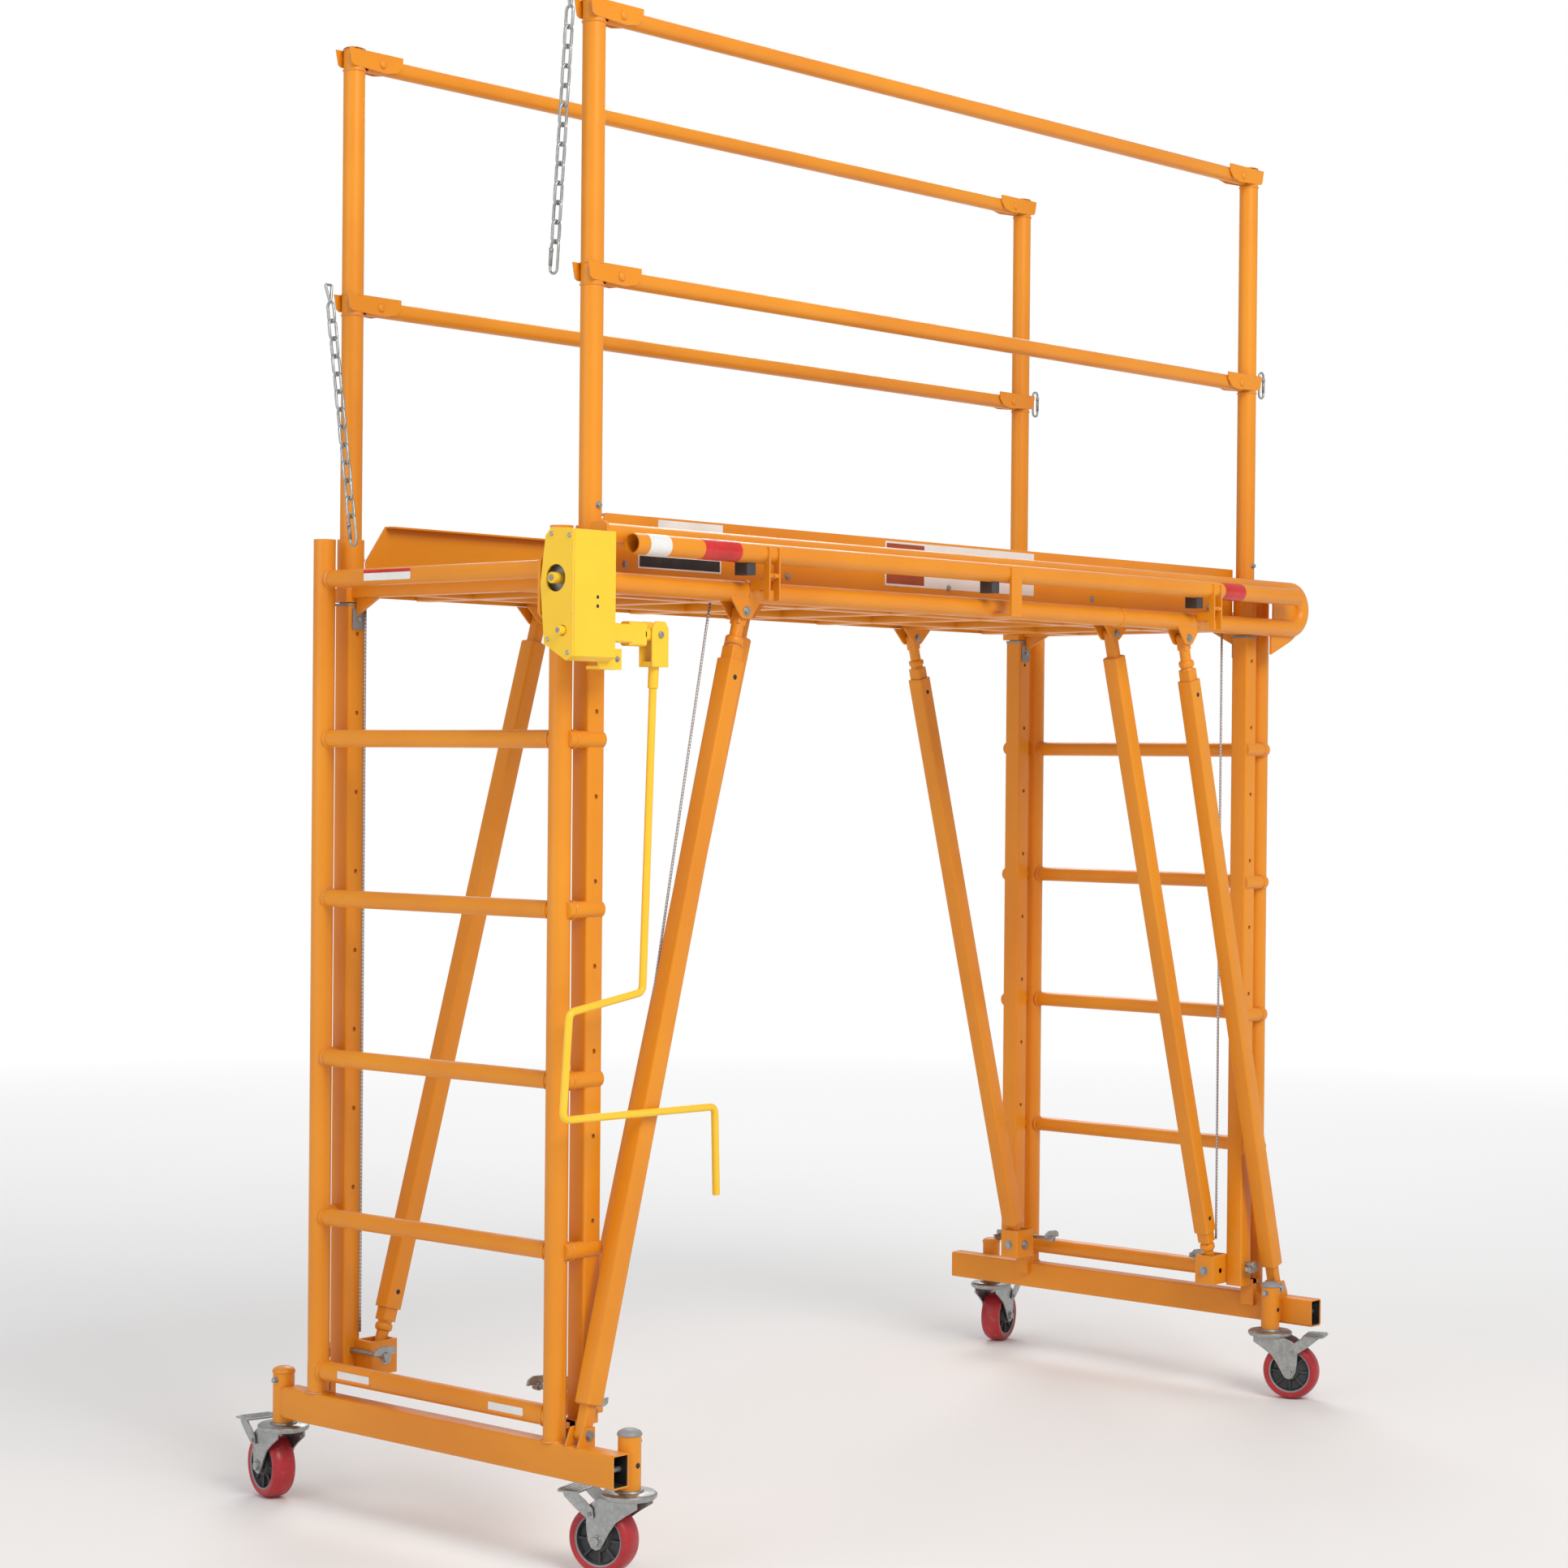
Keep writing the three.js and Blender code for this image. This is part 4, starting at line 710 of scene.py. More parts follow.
def caster(name):
    x, y = SOCKETS[name]
    place = Matrix.Translation((x, y, 0)) @ Matrix.Rotation(math.radians(CASTER_YAW[name]), 4, "Z")
    fork = Kit(place)
    fork.lathe([(0, 138), (38, 138), (47, 140), (50, 144), (50, 149), (46, 152), (0, 152)],
               (0, 0, 0), Z, ZINC)
    fork.lathe([(0, 152), (27, 152), (25, 156), (0, 156)], (0, 0, 0), Z, STEEL)
    fork.rod((0, 0, 150), (0, 0, 236), 11.5, ZINC)
    leg = [(-32, 128), (-8, 113), (10, 100), (24, 80), (35, 60), (41, 51), (50, 47.5), (59, 51),
           (66, 64), (69, 84), (70, 104), (68, 124), (56, 134), (42, 140), (-32, 140)]
    for s in (-1, 1):
        fork.plate(leg, (s * 27, s * 31), ZINC, "XZ")
        fork.bolt((TRAIL, s * 31, WHEEL_R), Y * s, 9, ZINC, 6)
        fork.rod((PEDAL_PIVOT[0], s * 30, PEDAL_PIVOT[1]), (PEDAL_PIVOT[0], s * 38, PEDAL_PIVOT[1]),
                 4, STEEL)
        fork.plate([(-24, 124), (34, 126), (34, 131), (-24, 131)], (s * 25, s * 29), ZINC, "XZ")
    fork.rod((TRAIL, -31, WHEEL_R), (TRAIL, 31, WHEEL_R), 6, STEEL)
    fork.piece(f"{name}_caster_fork", f"{name}_caster_fork", "zinc")

    wheel = Kit(place)
    centre = (TRAIL, 0, WHEEL_R)
    tyre = [(47, 22.5), (52, 24), (57, 23), (61, 18), (63, 10), (63.5, 4)]
    tyre += [(r, -w) for r, w in reversed(tyre)] + [(47, 22.5)]
    wheel.lathe(tyre, centre, Y, RED, 56)
    rim = [(44, 21), (47.4, 22.8), (47.4, -22.8), (44, -21)]
    wheel.lathe(rim, centre, Y, GREY, 56)
    hub = [(7, 22), (19, 22), (20, 20), (23, 13), (30, 11), (40, 12), (44.5, 20), (44.5, 21.5),
           (46.5, 22)]
    hub += [(r, -w) for r, w in reversed(hub)] + [(7, 22)]
    wheel.lathe(hub, centre, Y, CHARCOAL, 56)
    for k in range(8):
        turn = Matrix.Translation(centre) @ Matrix.Rotation(k * math.pi / 4, 4, "Y")
        rib = Kit(place @ turn)
        rib.box((18, 44), (-18, 18), (-2.2, 2.2), CHARCOAL)
        merge(wheel, rib)
    wheel.piece(f"{name}_caster_wheel", f"{name}_caster_wheel", "red_polyurethane", bevel=0.8)

    pedal = Kit(place)
    px, pz = PEDAL_PIVOT
    arm = [(px - 8, pz - 7), (px + 8, pz - 7), (px + 30, pz + 8), (px + 52, pz + 26),
           (px + 56, pz + 37), (px + 30, pz + 37), (px + 10, pz + 24), (px - 6, pz + 10)]
    for s in (-1, 1):
        pedal.plate(arm, (s * 33, s * 36), ZINC, "XZ")
    tread = [(px + 22, -36), (px + 50, -41), (px + 62, -42), (px + 68, -30), (px + 70, -16),
             (px + 70, 16), (px + 68, 30), (px + 62, 42), (px + 50, 41), (px + 22, 36)]
    pedal.plate(tread, (pz + 34, pz + 37), ZINC)
    for k in range(5):
        ridge = px + 30 + k * 8
        pedal.box((ridge, ridge + 3), (-30, 30), (pz + 36.5, pz + 38), ZINC)
    pedal.piece(f"{name}_brake_pedal", f"{name}_brake_pedal", "zinc")


def merge(kit, other):
    """Moves what another kit holds into this one."""
    data = bpy.data.meshes.new("part")
    other.mesh.to_mesh(data)
    other.mesh.free()
    kit.include(data, other.materials[0])
    bpy.data.meshes.remove(data)


# ---------- braces ----------


def brace(name, foot, top, neck_at_foot):
    start, end = Vector(foot), Vector(top)
    along = (end - start).normalized()
    length = (end - start).length
    neck_from, neck_way = (start, along) if neck_at_foot else (end, -along)

    def at(distance):
        return neck_from + neck_way * distance

    neck = Kit()
    neck.beam(at(70), at(length - 190), 30, 30, ORANGE, 3, 4)
    neck.beam(at(0), at(26), 24, 22, ORANGE, corner=3)
    neck.rod(at(0) - Y * 12, at(0) + Y * 12, 11, ORANGE)
    neck.pipe([at(18), at(74)], 12, ORANGE)
    neck.lathe([(12, 50), (15.5, 51.5), (17, 55), (17, 61), (15.5, 64.5), (12, 66)],
               neck_from, neck_way, ORANGE, 36)
    neck.lathe([(12, 64), (14, 68), (16, 73), (0, 74)], neck_from, neck_way, ORANGE, 36)
    neck.rod(at(0) - Y * 12.3, at(0) + Y * 12.3, 7, STEEL)

    sleeve = Kit()
    sleeve.beam(at(95), at(length - 54), 38, 38, ORANGE, 3.2, 5)
    sleeve.beam(at(length - 60), at(length - 52), 34, 34, ORANGE, corner=4)
    sleeve.beam(at(length - 58), at(length), 24, 22, ORANGE, corner=3)
    sleeve.rod(at(length) - Y * 12, at(length) + Y * 12, 11, ORANGE)
    sleeve.rod(at(length) - Y * 12.3, at(length) + Y * 12.3, 7, STEEL)
    for s in (-1, 1):
        sleeve.rod(at(128) + Y * s * 18.6, at(128) + Y * s * 19.3, 5, BLACK)
    lower, upper = (neck, sleeve) if neck_at_foot else (sleeve, neck)
    for part, kit in (("lower", lower), ("upper", upper)):
        node = f"{name}_{part}_tube"
        kit.piece(node, node, "orange_powder_coat")


# ---------- platform ----------


def gussets(kit, x, y, z, top):
    """Pair of plates that hold a brace's upper eye."""
    outline = [(x - 16, z - 10), (x - 10, z - 14), (x + 10, z - 14), (x + 16, z - 10),
               (x + 48, top), (x - 48, top)]
    for s in (-1, 1):
        near = y + s * 13
        kit.plate(outline, (near, near + s * 4), ORANGE, "XZ")
        kit.bolt((x, near + s * 4, z), Y * s, 7, height=5)


def deck_frame():
    kit = Kit()
    reach = BOARD_Y - 3
    for x in DECK_CROSS_X:
        kit.beam((x, -reach, DECK_TUBE_Z), (x, reach, DECK_TUBE_Z), 40, 21, ORANGE, 2.5, 3, side=X)
    for y in (-150, 150):
        kit.beam((-1054, y, DECK_TUBE_Z), (1054, y, DECK_TUBE_Z), 30, 20.5, ORANGE, 2.5, 3)
    for end in (-1, 1):
        kit.beam((end * 1066, -304, 1770), (end * 1066, 304, 1770), 28, 39, ORANGE, 3, 4, side=X)
        for side in (-1, 1):
            x, y = end * MAST_X, side * MAST_Y
            kit.box((end * 1036, end * 1092), (side * 303, side * 350), (1742, 1768), ORANGE)
            low, high = POST_SOCKET_Z
            kit.rod((x, y, low), (x, y, high), POST_SOCKET_R, ORANGE, wall=4.5, count=36)
            kit.weld((x, y, low + 2), Z, POST_SOCKET_R, ORANGE)
            kit.weld((x, y, high), Z, POST_SOCKET_R - 1.5, ORANGE, 1.6)
            kit.bolt((x - end * (POST_SOCKET_R - 0.5), y, 1826), X * -end, 6)
            corner = [(side * 235, DECK_FRAME_BOTTOM), (side * 302, DECK_FRAME_BOTTOM),
                      (side * 302, DECK_FRAME_BOTTOM - 35)]
            kit.plate(corner, (end * 1063, end * 1069), ORANGE, "YZ")
            bx, by, bz = INNER_TOP
            gussets(kit, end * bx, side * by, bz, DECK_FRAME_BOTTOM)
    for x0, x1 in LOCK_BARS_X:
        kit.box((x0, x1), (-359, -347.5), (1853, 1862), ORANGE)
        kit.rod((x1 - 14, -361, 1857.5), (x1 - 14, -346, 1857.5), 3.4, STEEL)
    plate_y = (WINCH_Y[1] + 0.3, WINCH_Y[1] + 6.3)
    kit.plate([(-1224, 1700), (-1214, 1690), (-1045, 1690), (-1045, 1790), (-1055, 1800),
               (-1214, 1800), (-1224, 1790)], plate_y, ORANGE, "XZ")
    kit.box((-1086, -1045), (plate_y[1] - 1, -349), (1742, 1768), ORANGE)
    for x in (-1110, -1066):
        for z in (1708, 1782):
            kit.bolt((x, plate_y[0], z), -Y, 6)
    kit.piece("deck_frame", "platform", "orange_powder_coat")


def deck_panel():
    kit = Kit()
    kit.box((-1051.5, 1051.5), (-297, 297), (DECK_TOP - 18, DECK_TOP), PLYWOOD)
    for x in DECK_CROSS_X:
        for y in (-270, -90, 90, 270):
            kit.lathe([(0, 0.4), (5, 0.4), (6.5, -0.2)], (x, y, DECK_TOP), Z, ZINC, 16)
    kit.piece("deck_panel", "platform", "plywood", bevel=1.5)


def side_board(name, side):
    kit = Kit()
    z0, z1 = BOARD_Z
    slope = 50
    web = [(-BOARD_X, z0), (BOARD_X, z0), (BOARD_X, z1), (-BOARD_X + slope, z1),
           (-BOARD_X, z1 - 70)]
    y = side * BOARD_Y
    kit.plate(web, (y - 2, y + 2), ORANGE, "XZ")
    kit.box((-BOARD_X + slope, BOARD_X - 0.3), (side * 278, side * 299), (z1 - 4.2, z1 - 0.3), ORANGE)
    bolt_z = 1800 if name == "rear" else 1801
    for x in (-950, -500, 0, 500, 950):
        kit.bolt((x, side * (BOARD_Y + 2), bolt_z), Y * side, 5, height=4)
    if name == "front":
        face = -302.6
        printed = face - 0.4
        sticker(kit, "XZ", face, (-863, -686), (1866, 1888), WHITE)
        sticker(kit, "XZ", face, (-916, -690), (1796, 1822), WHITE)
        sticker(kit, "XZ", printed, (-912, -694), (1799, 1819), BLACK)
        sticker(kit, "XZ", face, (-204, 290), (1798, 1887), WHITE)
        sticker(kit, "XZ", printed, (-200, -80), (1802, 1883), RUST_LABEL)
    kit.piece(f"{name}_side_board", "platform", "orange_powder_coat")


def side_rail():
    kit = Kit()
    low, high = SIDE_RAIL_Z
    middle, bend = (low + high) / 2, (high - low) / 2
    y = SIDE_RAIL_Y
    turn = arc((1160, y, middle), bend, -90, 90)
    kit.pipe([(-1100, y, low), *turn, (-1100, y, high)], SIDE_RAIL_R, ORANGE, count=32)
    for x in (-940, -500, 0, 500, 940):
        kit.box((x - 7, x + 7), (y, -302.3), (low - 5, low + 9), ORANGE)
    kit.plate([(y - 22, low - 16), (y - 16, low - 22), (y + 16, low - 22), (y + 22, low - 16),
               (y + 22, high + 16), (y + 16, high + 22), (y - 16, high + 22), (y - 22, high + 16)],
              (-1104, -1098), ORANGE, "YZ")
    kit.pipe([(-721, y, low), (-709, y, low)], SIDE_RAIL_R + 1.8, ORANGE, wall=2, count=32)
    kit.weld((480, y, low), X, SIDE_RAIL_R, ORANGE)
    kit.plate([(1088, low), (1160, low), (1190, low + 13), (1203, middle), (1190, high - 13),
               (1160, high), (1088, high)], (y - 2, y + 2), ORANGE, "XZ")
    kit.plate([(1080, low - 10), (1193, low - 10), (1160, low - 30), (1080, low - 62)],
              (y - 3, y + 3), ORANGE, "XZ")
    for end in (-1, 1):
        gussets(kit, end * OUTER_TOP[0], -OUTER_TOP[1], OUTER_TOP[2], low - 6)
    kit.piece("front_side_rail", "platform", "orange_powder_coat")


def bumper_tube():
    kit = Kit()
    y, z = BUMPER_Y, BUMPER_Z
    kit.rod((BUMPER_X[0], y, z), (BUMPER_X[1], y, z), BUMPER_R, ORANGE, wall=2.5, count=36)
    back = SIDE_RAIL_Y - SIDE_RAIL_R - 0.3
    front = y - BUMPER_R - 3
    low = SIDE_RAIL_Z[0]
    bottom, top = low - 18, z + 12
    block_z = (z - BUMPER_R - 22, z - BUMPER_R + 3)
    for x in BRACKETS_X:
        for dx in (-14, 14):
            kit.box((x + dx - 2, x + dx + 2), (front, front + 14), (bottom, top), ORANGE)
            kit.box((x + dx - 2, x + dx + 2), (front + 14, back), (low + 2, low + 20), ORANGE)
        kit.box((x - 12, x + 12), (front + 0.5, front + 7), (1784, 1791), ORANGE)
        kit.bolt((x, front + 0.5, 1787), -Y, 4, ORANGE, 4)
    # Dark charcoal blocks just left of each bracket and of the strap, between the bumper tube and the
    # side rail.
    for x in DARK_BLOCKS_X:
        kit.box((x - 12, x + 12), (y - 6, back), block_z, CHARCOAL)
    kit.box(STRAP_X, (front, front + 6), (bottom, top), ORANGE)
    kit.box(STRAP_X, (front + 6, back), (bottom, bottom + 6), ORANGE)
    bands = [(-1034, -979, WHITE), (-890, -791, RED_LABEL), (800, 880, RED_LABEL)]
    for x0, x1, look in bands:
        kit.pipe([(x0, y, z), (x1, y, z)], BUMPER_R + 0.5, look, wall=0.5, count=36)
    kit.piece("front_bumper_tube", "platform", "orange_powder_coat")


def inner_mast(name, end, side):
    x, y = end * MAST_X, side * MAST_Y
    kit = Kit()
    kit.beam((x, y, 345), (x, y, 1760), 32, 32, ORANGE, 3, 4)
    node = f"{name}_inner_mast"
    kit.piece(node, "platform", "orange_powder_coat")


# ---------- guardrails ----------


def rail_channel(kit, end, y, z):
    """Inverted channel on a post, with a pointed lip that takes a chain."""
    def out(value):
        return end * (MAST_X - value)

    half, wide = 18, 21.5
    slot_x = out(-52)
    roof = [(out(-64), y - 5), (out(-64), y + 5), (out(-60), y + 9), (out(-38), y + wide),
            (out(107), y + wide), (out(107), y - wide), (out(-38), y - wide), (out(-60), y - 9)]

    def build(part):
        part.plate(roof, (z + 20, z + 23.5), ORANGE)

    slot = [((slot_x + dx, y, z), (slot_x + dx, y, z + 40), 5) for dx in (-3, 0, 3)]
    kit.include(drilled(build, slot), ORANGE)
    cheek = [(out(-30), z + 20.5), (out(-24), z - 8), (out(-18), z - 12), (out(64), z - 16),
             (out(92), z - 11), (out(106), z + 2), (out(106.5), z + 20.5)]
    bolt_x = out(54)
    for s in (-1, 1):
        kit.plate(cheek, (y + s * half, y + s * wide), ORANGE, "XZ")
        kit.lathe([(8.5, 0), (8.2, 2), (6, 4), (0, 4.8)], (bolt_x, y + s * (wide - 0.2), z), Y * s,
                  ORANGE, 24)


def guardrail(name, side):
    y = side * MAST_Y
    body = f"{name}_guardrail"
    for end_name, end in ENDS.items():
        x = end * MAST_X
        kit = Kit()
        kit.rod((x, y, 1763), (x, y, POST_TOP), 21, ORANGE, wall=3, count=36)
        kit.lathe([(0, POST_TOP - 2), (18.4, POST_TOP - 2)], (x, y, 0), Z, BLACK, 24)
        kit.lathe([(21.4, POST_TOP + 2), (18, POST_TOP + 4.5), (11, POST_TOP + 6.5), (0, POST_TOP + 7)],
                  (x, y, 0), Z, ORANGE, 32)
        for z in RAIL_HEIGHTS.values():
            rail_channel(kit, end, y, z)
            for offset in (-19, 19.5):
                kit.weld((x, y, z + offset), Z, 21, ORANGE, 2)
        kit.bolt((x, y + side * 20.5, 1900), Y * side, 5)
        node = f"{end_name}_{name}_guard_post"
        kit.piece(node, body, "orange_powder_coat")
    for level, z in RAIL_HEIGHTS.items():
        kit = Kit()
        kit.rod((-1037, y, z), (1037, y, z), 16.5, ORANGE, wall=2.5, count=36)
        node = f"{name}_{level}_rail"
        kit.piece(node, body, "orange_powder_coat")


LINK_PITCH, LINK_WIRE, LINK_HALF, CHAIN_LINKS = 34.6, 2.8, 8.5, 13
LINK_OVERLAP = 4.4
HANG_X, HANG_ABOVE_RAIL = MAST_X + 59.5, 21.75
HOOK_DROP, HOOK_HALF, HOOK_WIRE = 64, 9, 2.6


def loop_path(half, top, bottom, across):
    """A rounded link outline hanging between two heights."""
    upper = arc((0, 0, top - half), half, 0, 180, across, Z, 10)
    lower = arc((0, 0, bottom + half), half, 180, 360, across, Z, 10)
    return upper + lower


def snap_hook(kit, top, across):
    """A snap hook: an open loop, its sprung gate and the eye above."""
    bottom = top - HOOK_DROP
    path = loop_path(HOOK_HALF, top - 2.5, bottom + 2.5, across)
    kit.pipe(path, HOOK_WIRE, ZINC, side=Y if across is X else X, closed=True, count=12)
    centre = across * HOOK_HALF
    kit.rod(centre + Z * (top - 18), centre + Z * (bottom + 16), 3.4, STEEL, count=16)
    kit.rod(centre + Z * (top - 16), centre + Z * (top - 22), 4.2, ZINC, count=16)


def chain(name, side, level, lean):
    x, z = -HANG_X, RAIL_HEIGHTS[level] + HANG_ABOVE_RAIL
    place = (Matrix.Translation((x, side * MAST_Y, z))
             @ Matrix.Rotation(math.radians(lean), 4, "X"))
    kit = Kit(place)
    for k in range(CHAIN_LINKS):
        across = X if k % 2 == 0 else Y
        top = 12.5 - k * LINK_PITCH
        bottom = top - LINK_PITCH - LINK_OVERLAP
        if k == 0:
            path = rounded_loop([X * -LINK_HALF + Z * top, X * LINK_HALF + Z * top, Z * bottom], 5)
        else:
            path = loop_path(LINK_HALF, top, bottom, across)
        kit.pipe(path, LINK_WIRE, ZINC, side=Y if across is X else X, closed=True, count=10)
    snap_hook(kit, 15 - CHAIN_LINKS * LINK_PITCH, Y)
    kit.piece(name, name, "zinc", bevel=0)


def resting_hook(name, side):
    z = RAIL_HEIGHTS["mid"] + HANG_ABOVE_RAIL
    place = Matrix.Translation((HANG_X, side * MAST_Y, z))
    kit = Kit(place)
    snap_hook(kit, 15, X)
    kit.piece(name, name, "zinc", bevel=0)


# ---------- winch ----------


CRANK_PATH = [
    (0, 0, -50), (-22, 0, -640), (-206, 0, -668), (-220, 0, -855), (172, 0, -860), (178, 0, -1023),
]


def winch_outline(grow):
    front, back = WINCH_Y
    bottom, top = WINCH_Z
    return [
        (front - grow, bottom + 8 - grow), (front + 16, bottom - grow),
        (back - 10 + grow, bottom + 30 - grow), (back + grow, bottom + 135),
        (back - 12 + grow, top - 14 + grow), (back - 26, top + grow), (front - grow, top - 4 + grow),
    ]


def winch():
    x0, x1 = WINCH_X
    iy, iz = INPUT_AXIS
    dy, dz = DRUM_AXIS
    housing = Kit()
    wall = 3
    outer, inner = winch_outline(0), winch_outline(-wall)
    count = len(outer)
    for k in range(count):
        m = (k + 1) % count
        strip = [outer[k], outer[m], inner[m], inner[k]]
        housing.plate(strip, (x0 + 4.3, x1), YELLOW, "YZ")
    housing.plate(inner, (x1 - wall, x1), YELLOW, "YZ")
    housing.rod((x1 - 3, iy, iz), (x1 + 8, iy, iz), 15, YELLOW)
    housing.rod((x1 + 7, iy, iz), (x1 + 8.5, iy, iz), 10, STEEL)
    for z in (1728, 1712):
        housing.rod((x1 - 45, WINCH_Y[0] - 0.4, z), (x1 - 45, WINCH_Y[0] + 1, z), 3.5, BLACK)
    guide_bottom, guide_top = CABLE_GUIDE_Z
    housing.box((x1 - 20, x1 + 36), (iy - 6, iy), CABLE_GUIDE_Z, YELLOW)
    housing.box((x1 - 20, x1 + 36), (iy, iy + 28), (guide_bottom, guide_bottom + 6), YELLOW)
    for x in (x1 - 6, x1 + 24):
        housing.bolt((x, iy - 6, (guide_bottom + guide_top) / 2), -Y, 4, height=4)
    housing.piece("winch_housing", "platform", "yellow_paint")

    def plate(kit):
        kit.plate(winch_outline(0), (x0, x0 + 4), YELLOW, "YZ")

    cover = Kit()
    cover.include(drilled(plate, [((x0 - 9, dy, dz), (x0 + 9, dy, dz), 24),
                                  ((x0 - 9, iy, iz), (x0 + 9, iy, iz), 9)]), YELLOW)
    front, back = WINCH_Y
    bottom, top = WINCH_Z
    for y, z in ((front + 9, top - 16), (back - 28, top - 12), (back - 20, bottom + 38),
                 (front + 12, bottom + 14)):
        cover.lathe([(0, 2.6), (2.5, 2.4), (4, 1.2), (4.2, 0)], (x0, y, z), -X, ZINC, 20)
    cover.piece("winch_cover", "platform", "yellow_paint")

    drum = Kit()
    drum.rod((x0 - 10, dy, dz), (x1 - 6, dy, dz), 10, YELLOW)
    drum.lathe([(0, 0), (5, 0), (5, 3), (0, 3)], (x0 - 10, dy, dz), -X, STEEL, 20)
    drum.rod((x0 + 16, dy, dz), (x0 + 20, dy, dz), 32, STEEL, count=48)
    drum.rod((x1 - 20, dy, dz), (x1 - 16, dy, dz), 32, STEEL, count=48)
    coils = 9
    for k in range(coils):
        x = x0 + 23 + k * 5.6
        drum.lathe([(22, -2.6), (24, -1.6), (24.6, 0), (24, 1.6), (22, 2.6)], (x, dy, dz), X, STRAND)
    drum.piece("cable_drum", "cable_drum", "yellow_paint")

    shaft = Kit()
    shaft.rod((x0 - 12, iy, iz), (x1 + 20, iy, iz), 8, YELLOW)
    shaft.beam((x1 + 9, iy, iz), (x1 + 56, iy, iz), 30, 34, YELLOW, corner=5)
    shaft.beam((x1 + 50, iy, iz), (JOINT_X - 30, iy, iz), 24, 44, YELLOW, corner=6)
    shaft.beam((JOINT_X - 34, iy, iz), (JOINT_X + 12, iy, iz), 24, 24, YELLOW, corner=7)
    shaft.rod((JOINT_X, iy - 12.4, iz), (JOINT_X, iy + 12.4, iz), 7, STEEL)
    shaft.rod((x0 - 12.4, iy, iz), (x0 - 11, iy, iz), 5, STEEL)
    shaft.piece("winch_input_shaft", "winch_input_shaft", "yellow_paint")

    crank = Kit(Matrix.Translation((JOINT_X, iy, iz)))
    ear = [(-21, -58), (21, -58), (21, 12), (12, 24), (-12, 24), (-21, 12)]
    for s in (-1, 1):
        crank.plate(ear, (s * 13, s * 17), YELLOW, "XZ")
    crank.box((-20.7, 20.7), (-13.3, 13.3), (-57.7, -48), YELLOW)
    crank.rod((0, -20.5, 0), (0, 20.5, 0), 6, ZINC)
    crank.pipe(rounded_path(CRANK_PATH, 16), 7, YELLOW, count=24)
    crank.pipe([(0, 0, -57), (-1.7, 0, -96)], 9.5, YELLOW, count=24)
    crank.piece("winch_crank", "winch_crank", "yellow_paint")


# ---------- hoist cables ----------

CABLES = {
    "near_front_cable": ((-1058, -353, 309), (-775, -353, 1737)),
    "far_front_cable": ((1028, -287, 355), (1028, -287, 1749)),
    "near_rear_cable": ((-1051, 296, 335), (-1051, 296, 1741)),
}


def cable(node, low, high):
    kit = Kit()
    steps = 24
    path = [Vector(low).lerp(Vector(high), k / steps) for k in range(steps + 1)]
    kit.pipe(path, 2.5, STRAND, count=12)
    made = kit.piece(node, None, "steel_cable", bevel=0)
    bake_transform(made)


# ---------- the whole scaffold ----------

for end_name, end in ENDS.items():
    end_ladder(end_name, end)
    for side_name, side in SIDES.items():
        corner = f"{end_name}_{side_name}"
        foot_latch(corner, end, side)
        caster(corner)
        inner_mast(corner, end, side)
        fx, fy, fz = FOOT_PIVOT
        tx, ty, tz = INNER_TOP
        brace(f"{corner}_brace", (end * fx, side * fy, fz), (end * tx, side * ty, tz),
              corner != "far_rear")
    fx, fy, fz = OUTER_FOOT
    tx, ty, tz = OUTER_TOP
    brace(f"{end_name}_outer_brace", (end * fx, -fy, fz), (end * tx, -ty, tz), False)

deck_frame()
deck_panel()
side_rail()
bumper_tube()
for side_name, side in SIDES.items():
    side_board(side_name, side)
    guardrail(side_name, side)
    resting_hook(f"far_{side_name}_snap_hook", side)
chain("near_front_chain", -1, "top", 4.5)
chain("near_rear_chain", 1, "mid", -9)
winch()
for cable_name, (low_end, high_end) in CABLES.items():
    cable(cable_name, low_end, high_end)

# ---------- stage, light and camera ----------


FLOOR_HALF = 60
FADE_FROM_TO = (2.0, 9.0)
ROOM_LIGHT = 0.5
LIGHTS = [
    ("key", (-2.2, -6.2, 6.2), 4.0, 400, (1.0, 0.98, 0.95)),
    ("fill", (-7.0, 1.0, 3.0), 5.0, 90, (0.95, 0.97, 1.0)),
    ("rim", (5.0, 4.5, 6.0), 4.0, 220, (1.0, 1.0, 1.0)),
]
LIGHT_TARGET = Vector((0, 0, 1.3))


def pale_floor(n, shader):
    """Pale near the scaffold, fading with distance into the white background."""
    away = n.add("ShaderNodeVectorMath", operation="LENGTH")
    n.link(n.place, away.inputs[0])
    fade = n.between(away.outputs["Value"], *FADE_FROM_TO)
    tone = n.mix(n.between(n.noise(0.6), 0.3, 0.7), (0.86, 0.86, 0.855), (0.84, 0.84, 0.835))
    n.link(n.mix(fade, tone, (0.0, 0.0, 0.0)), shader.inputs["Base Color"])
    shader.inputs["Emission Color"].default_value = (1.0, 1.0, 1.0, 1.0)
    n.link(fade, shader.inputs["Emission Strength"])
    shader.inputs["Specular IOR Level"].default_value = 0.0
    shader.inputs["Roughness"].default_value = 0.9


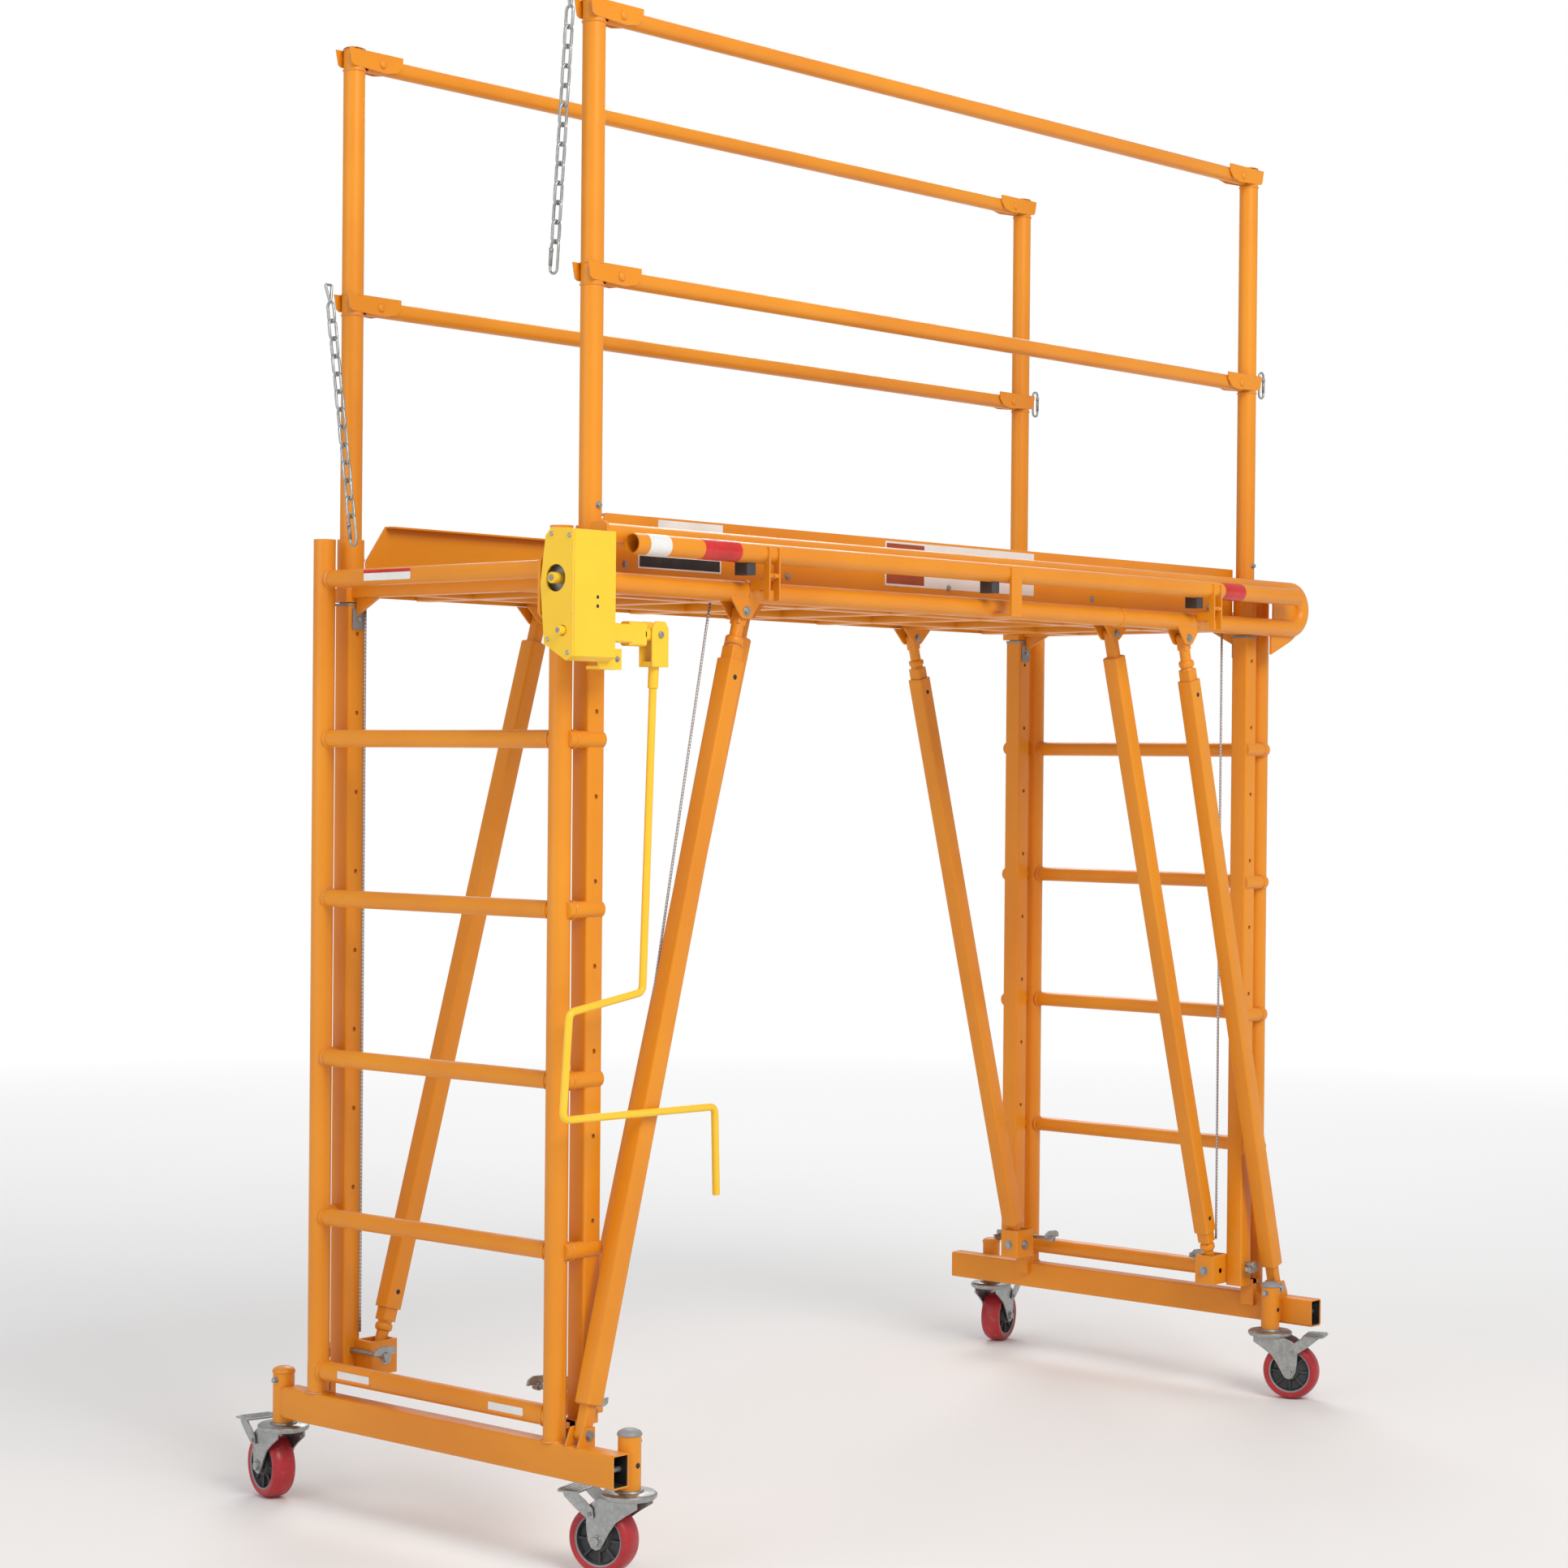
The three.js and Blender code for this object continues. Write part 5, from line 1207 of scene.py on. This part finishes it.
def studio():
    data = bpy.data.meshes.new("studio_floor")
    half = FLOOR_HALF
    data.from_pydata([(-half, -half, 0), (half, -half, 0), (half, half, 0), (-half, half, 0)], [],
                     [(0, 1, 2, 3)])
    data.materials.append(material("pale_floor", pale_floor))
    floor = bpy.data.objects.new("studio_floor", data)
    bpy.context.scene.collection.objects.link(floor)

    world = bpy.data.worlds.new("studio")
    bpy.context.scene.world = world
    world.use_nodes = True
    nodes = world.node_tree.nodes
    links = world.node_tree.links
    room = nodes["Background"]
    room.inputs["Color"].default_value = (0.97, 0.98, 1.0, 1.0)
    room.inputs["Strength"].default_value = ROOM_LIGHT
    backdrop = nodes.new("ShaderNodeBackground")
    backdrop.inputs["Color"].default_value = (1.0, 1.0, 1.0, 1.0)
    seen = nodes.new("ShaderNodeLightPath").outputs["Is Camera Ray"]
    choice = nodes.new("ShaderNodeMixShader")
    links.new(seen, choice.inputs[0])
    links.new(room.outputs[0], choice.inputs[1])
    links.new(backdrop.outputs[0], choice.inputs[2])
    links.new(choice.outputs[0], nodes["World Output"].inputs["Surface"])

    for name, place, size, power, colour in LIGHTS:
        lamp = bpy.data.lights.new(name, "AREA")
        lamp.size = size
        lamp.energy = power
        lamp.color = colour
        holder = bpy.data.objects.new(name, lamp)
        holder.location = place
        holder.rotation_euler = (LIGHT_TARGET - Vector(place)).to_track_quat("-Z", "Y").to_euler()
        bpy.context.scene.collection.objects.link(holder)


EYE_PLACE = (-5.1632, -4.4035, 1.4428)
EYE_TURN = (41.36, -0.4, 0.5)
LENS, SENSOR = 73.70, 36


def camera():
    """Eye height 1.44 m, looking along the platform's long side from the winch end."""
    yaw, pitch, roll = (math.radians(angle) for angle in EYE_TURN)
    forward = Vector((math.cos(yaw) * math.cos(pitch), math.sin(yaw) * math.cos(pitch),
                      math.sin(pitch)))
    level = Vector((math.sin(yaw), -math.cos(yaw), 0))
    above = level.cross(forward)
    right = level * math.cos(roll) + above * math.sin(roll)
    up = above * math.cos(roll) - level * math.sin(roll)
    turn = Matrix((right, up, -forward)).transposed()
    data = bpy.data.cameras.new("camera")
    data.sensor_width = SENSOR
    data.lens = LENS
    data.clip_end = 200
    eye = bpy.data.objects.new("camera", data)
    place = Vector(EYE_PLACE) + Vector(MIDDLE)
    eye.matrix_world = Matrix.Translation(place) @ turn.to_4x4()
    bpy.context.scene.collection.objects.link(eye)
    bpy.context.scene.camera = eye


studio()
camera()
bpy.context.scene.view_settings.view_transform = "Standard"
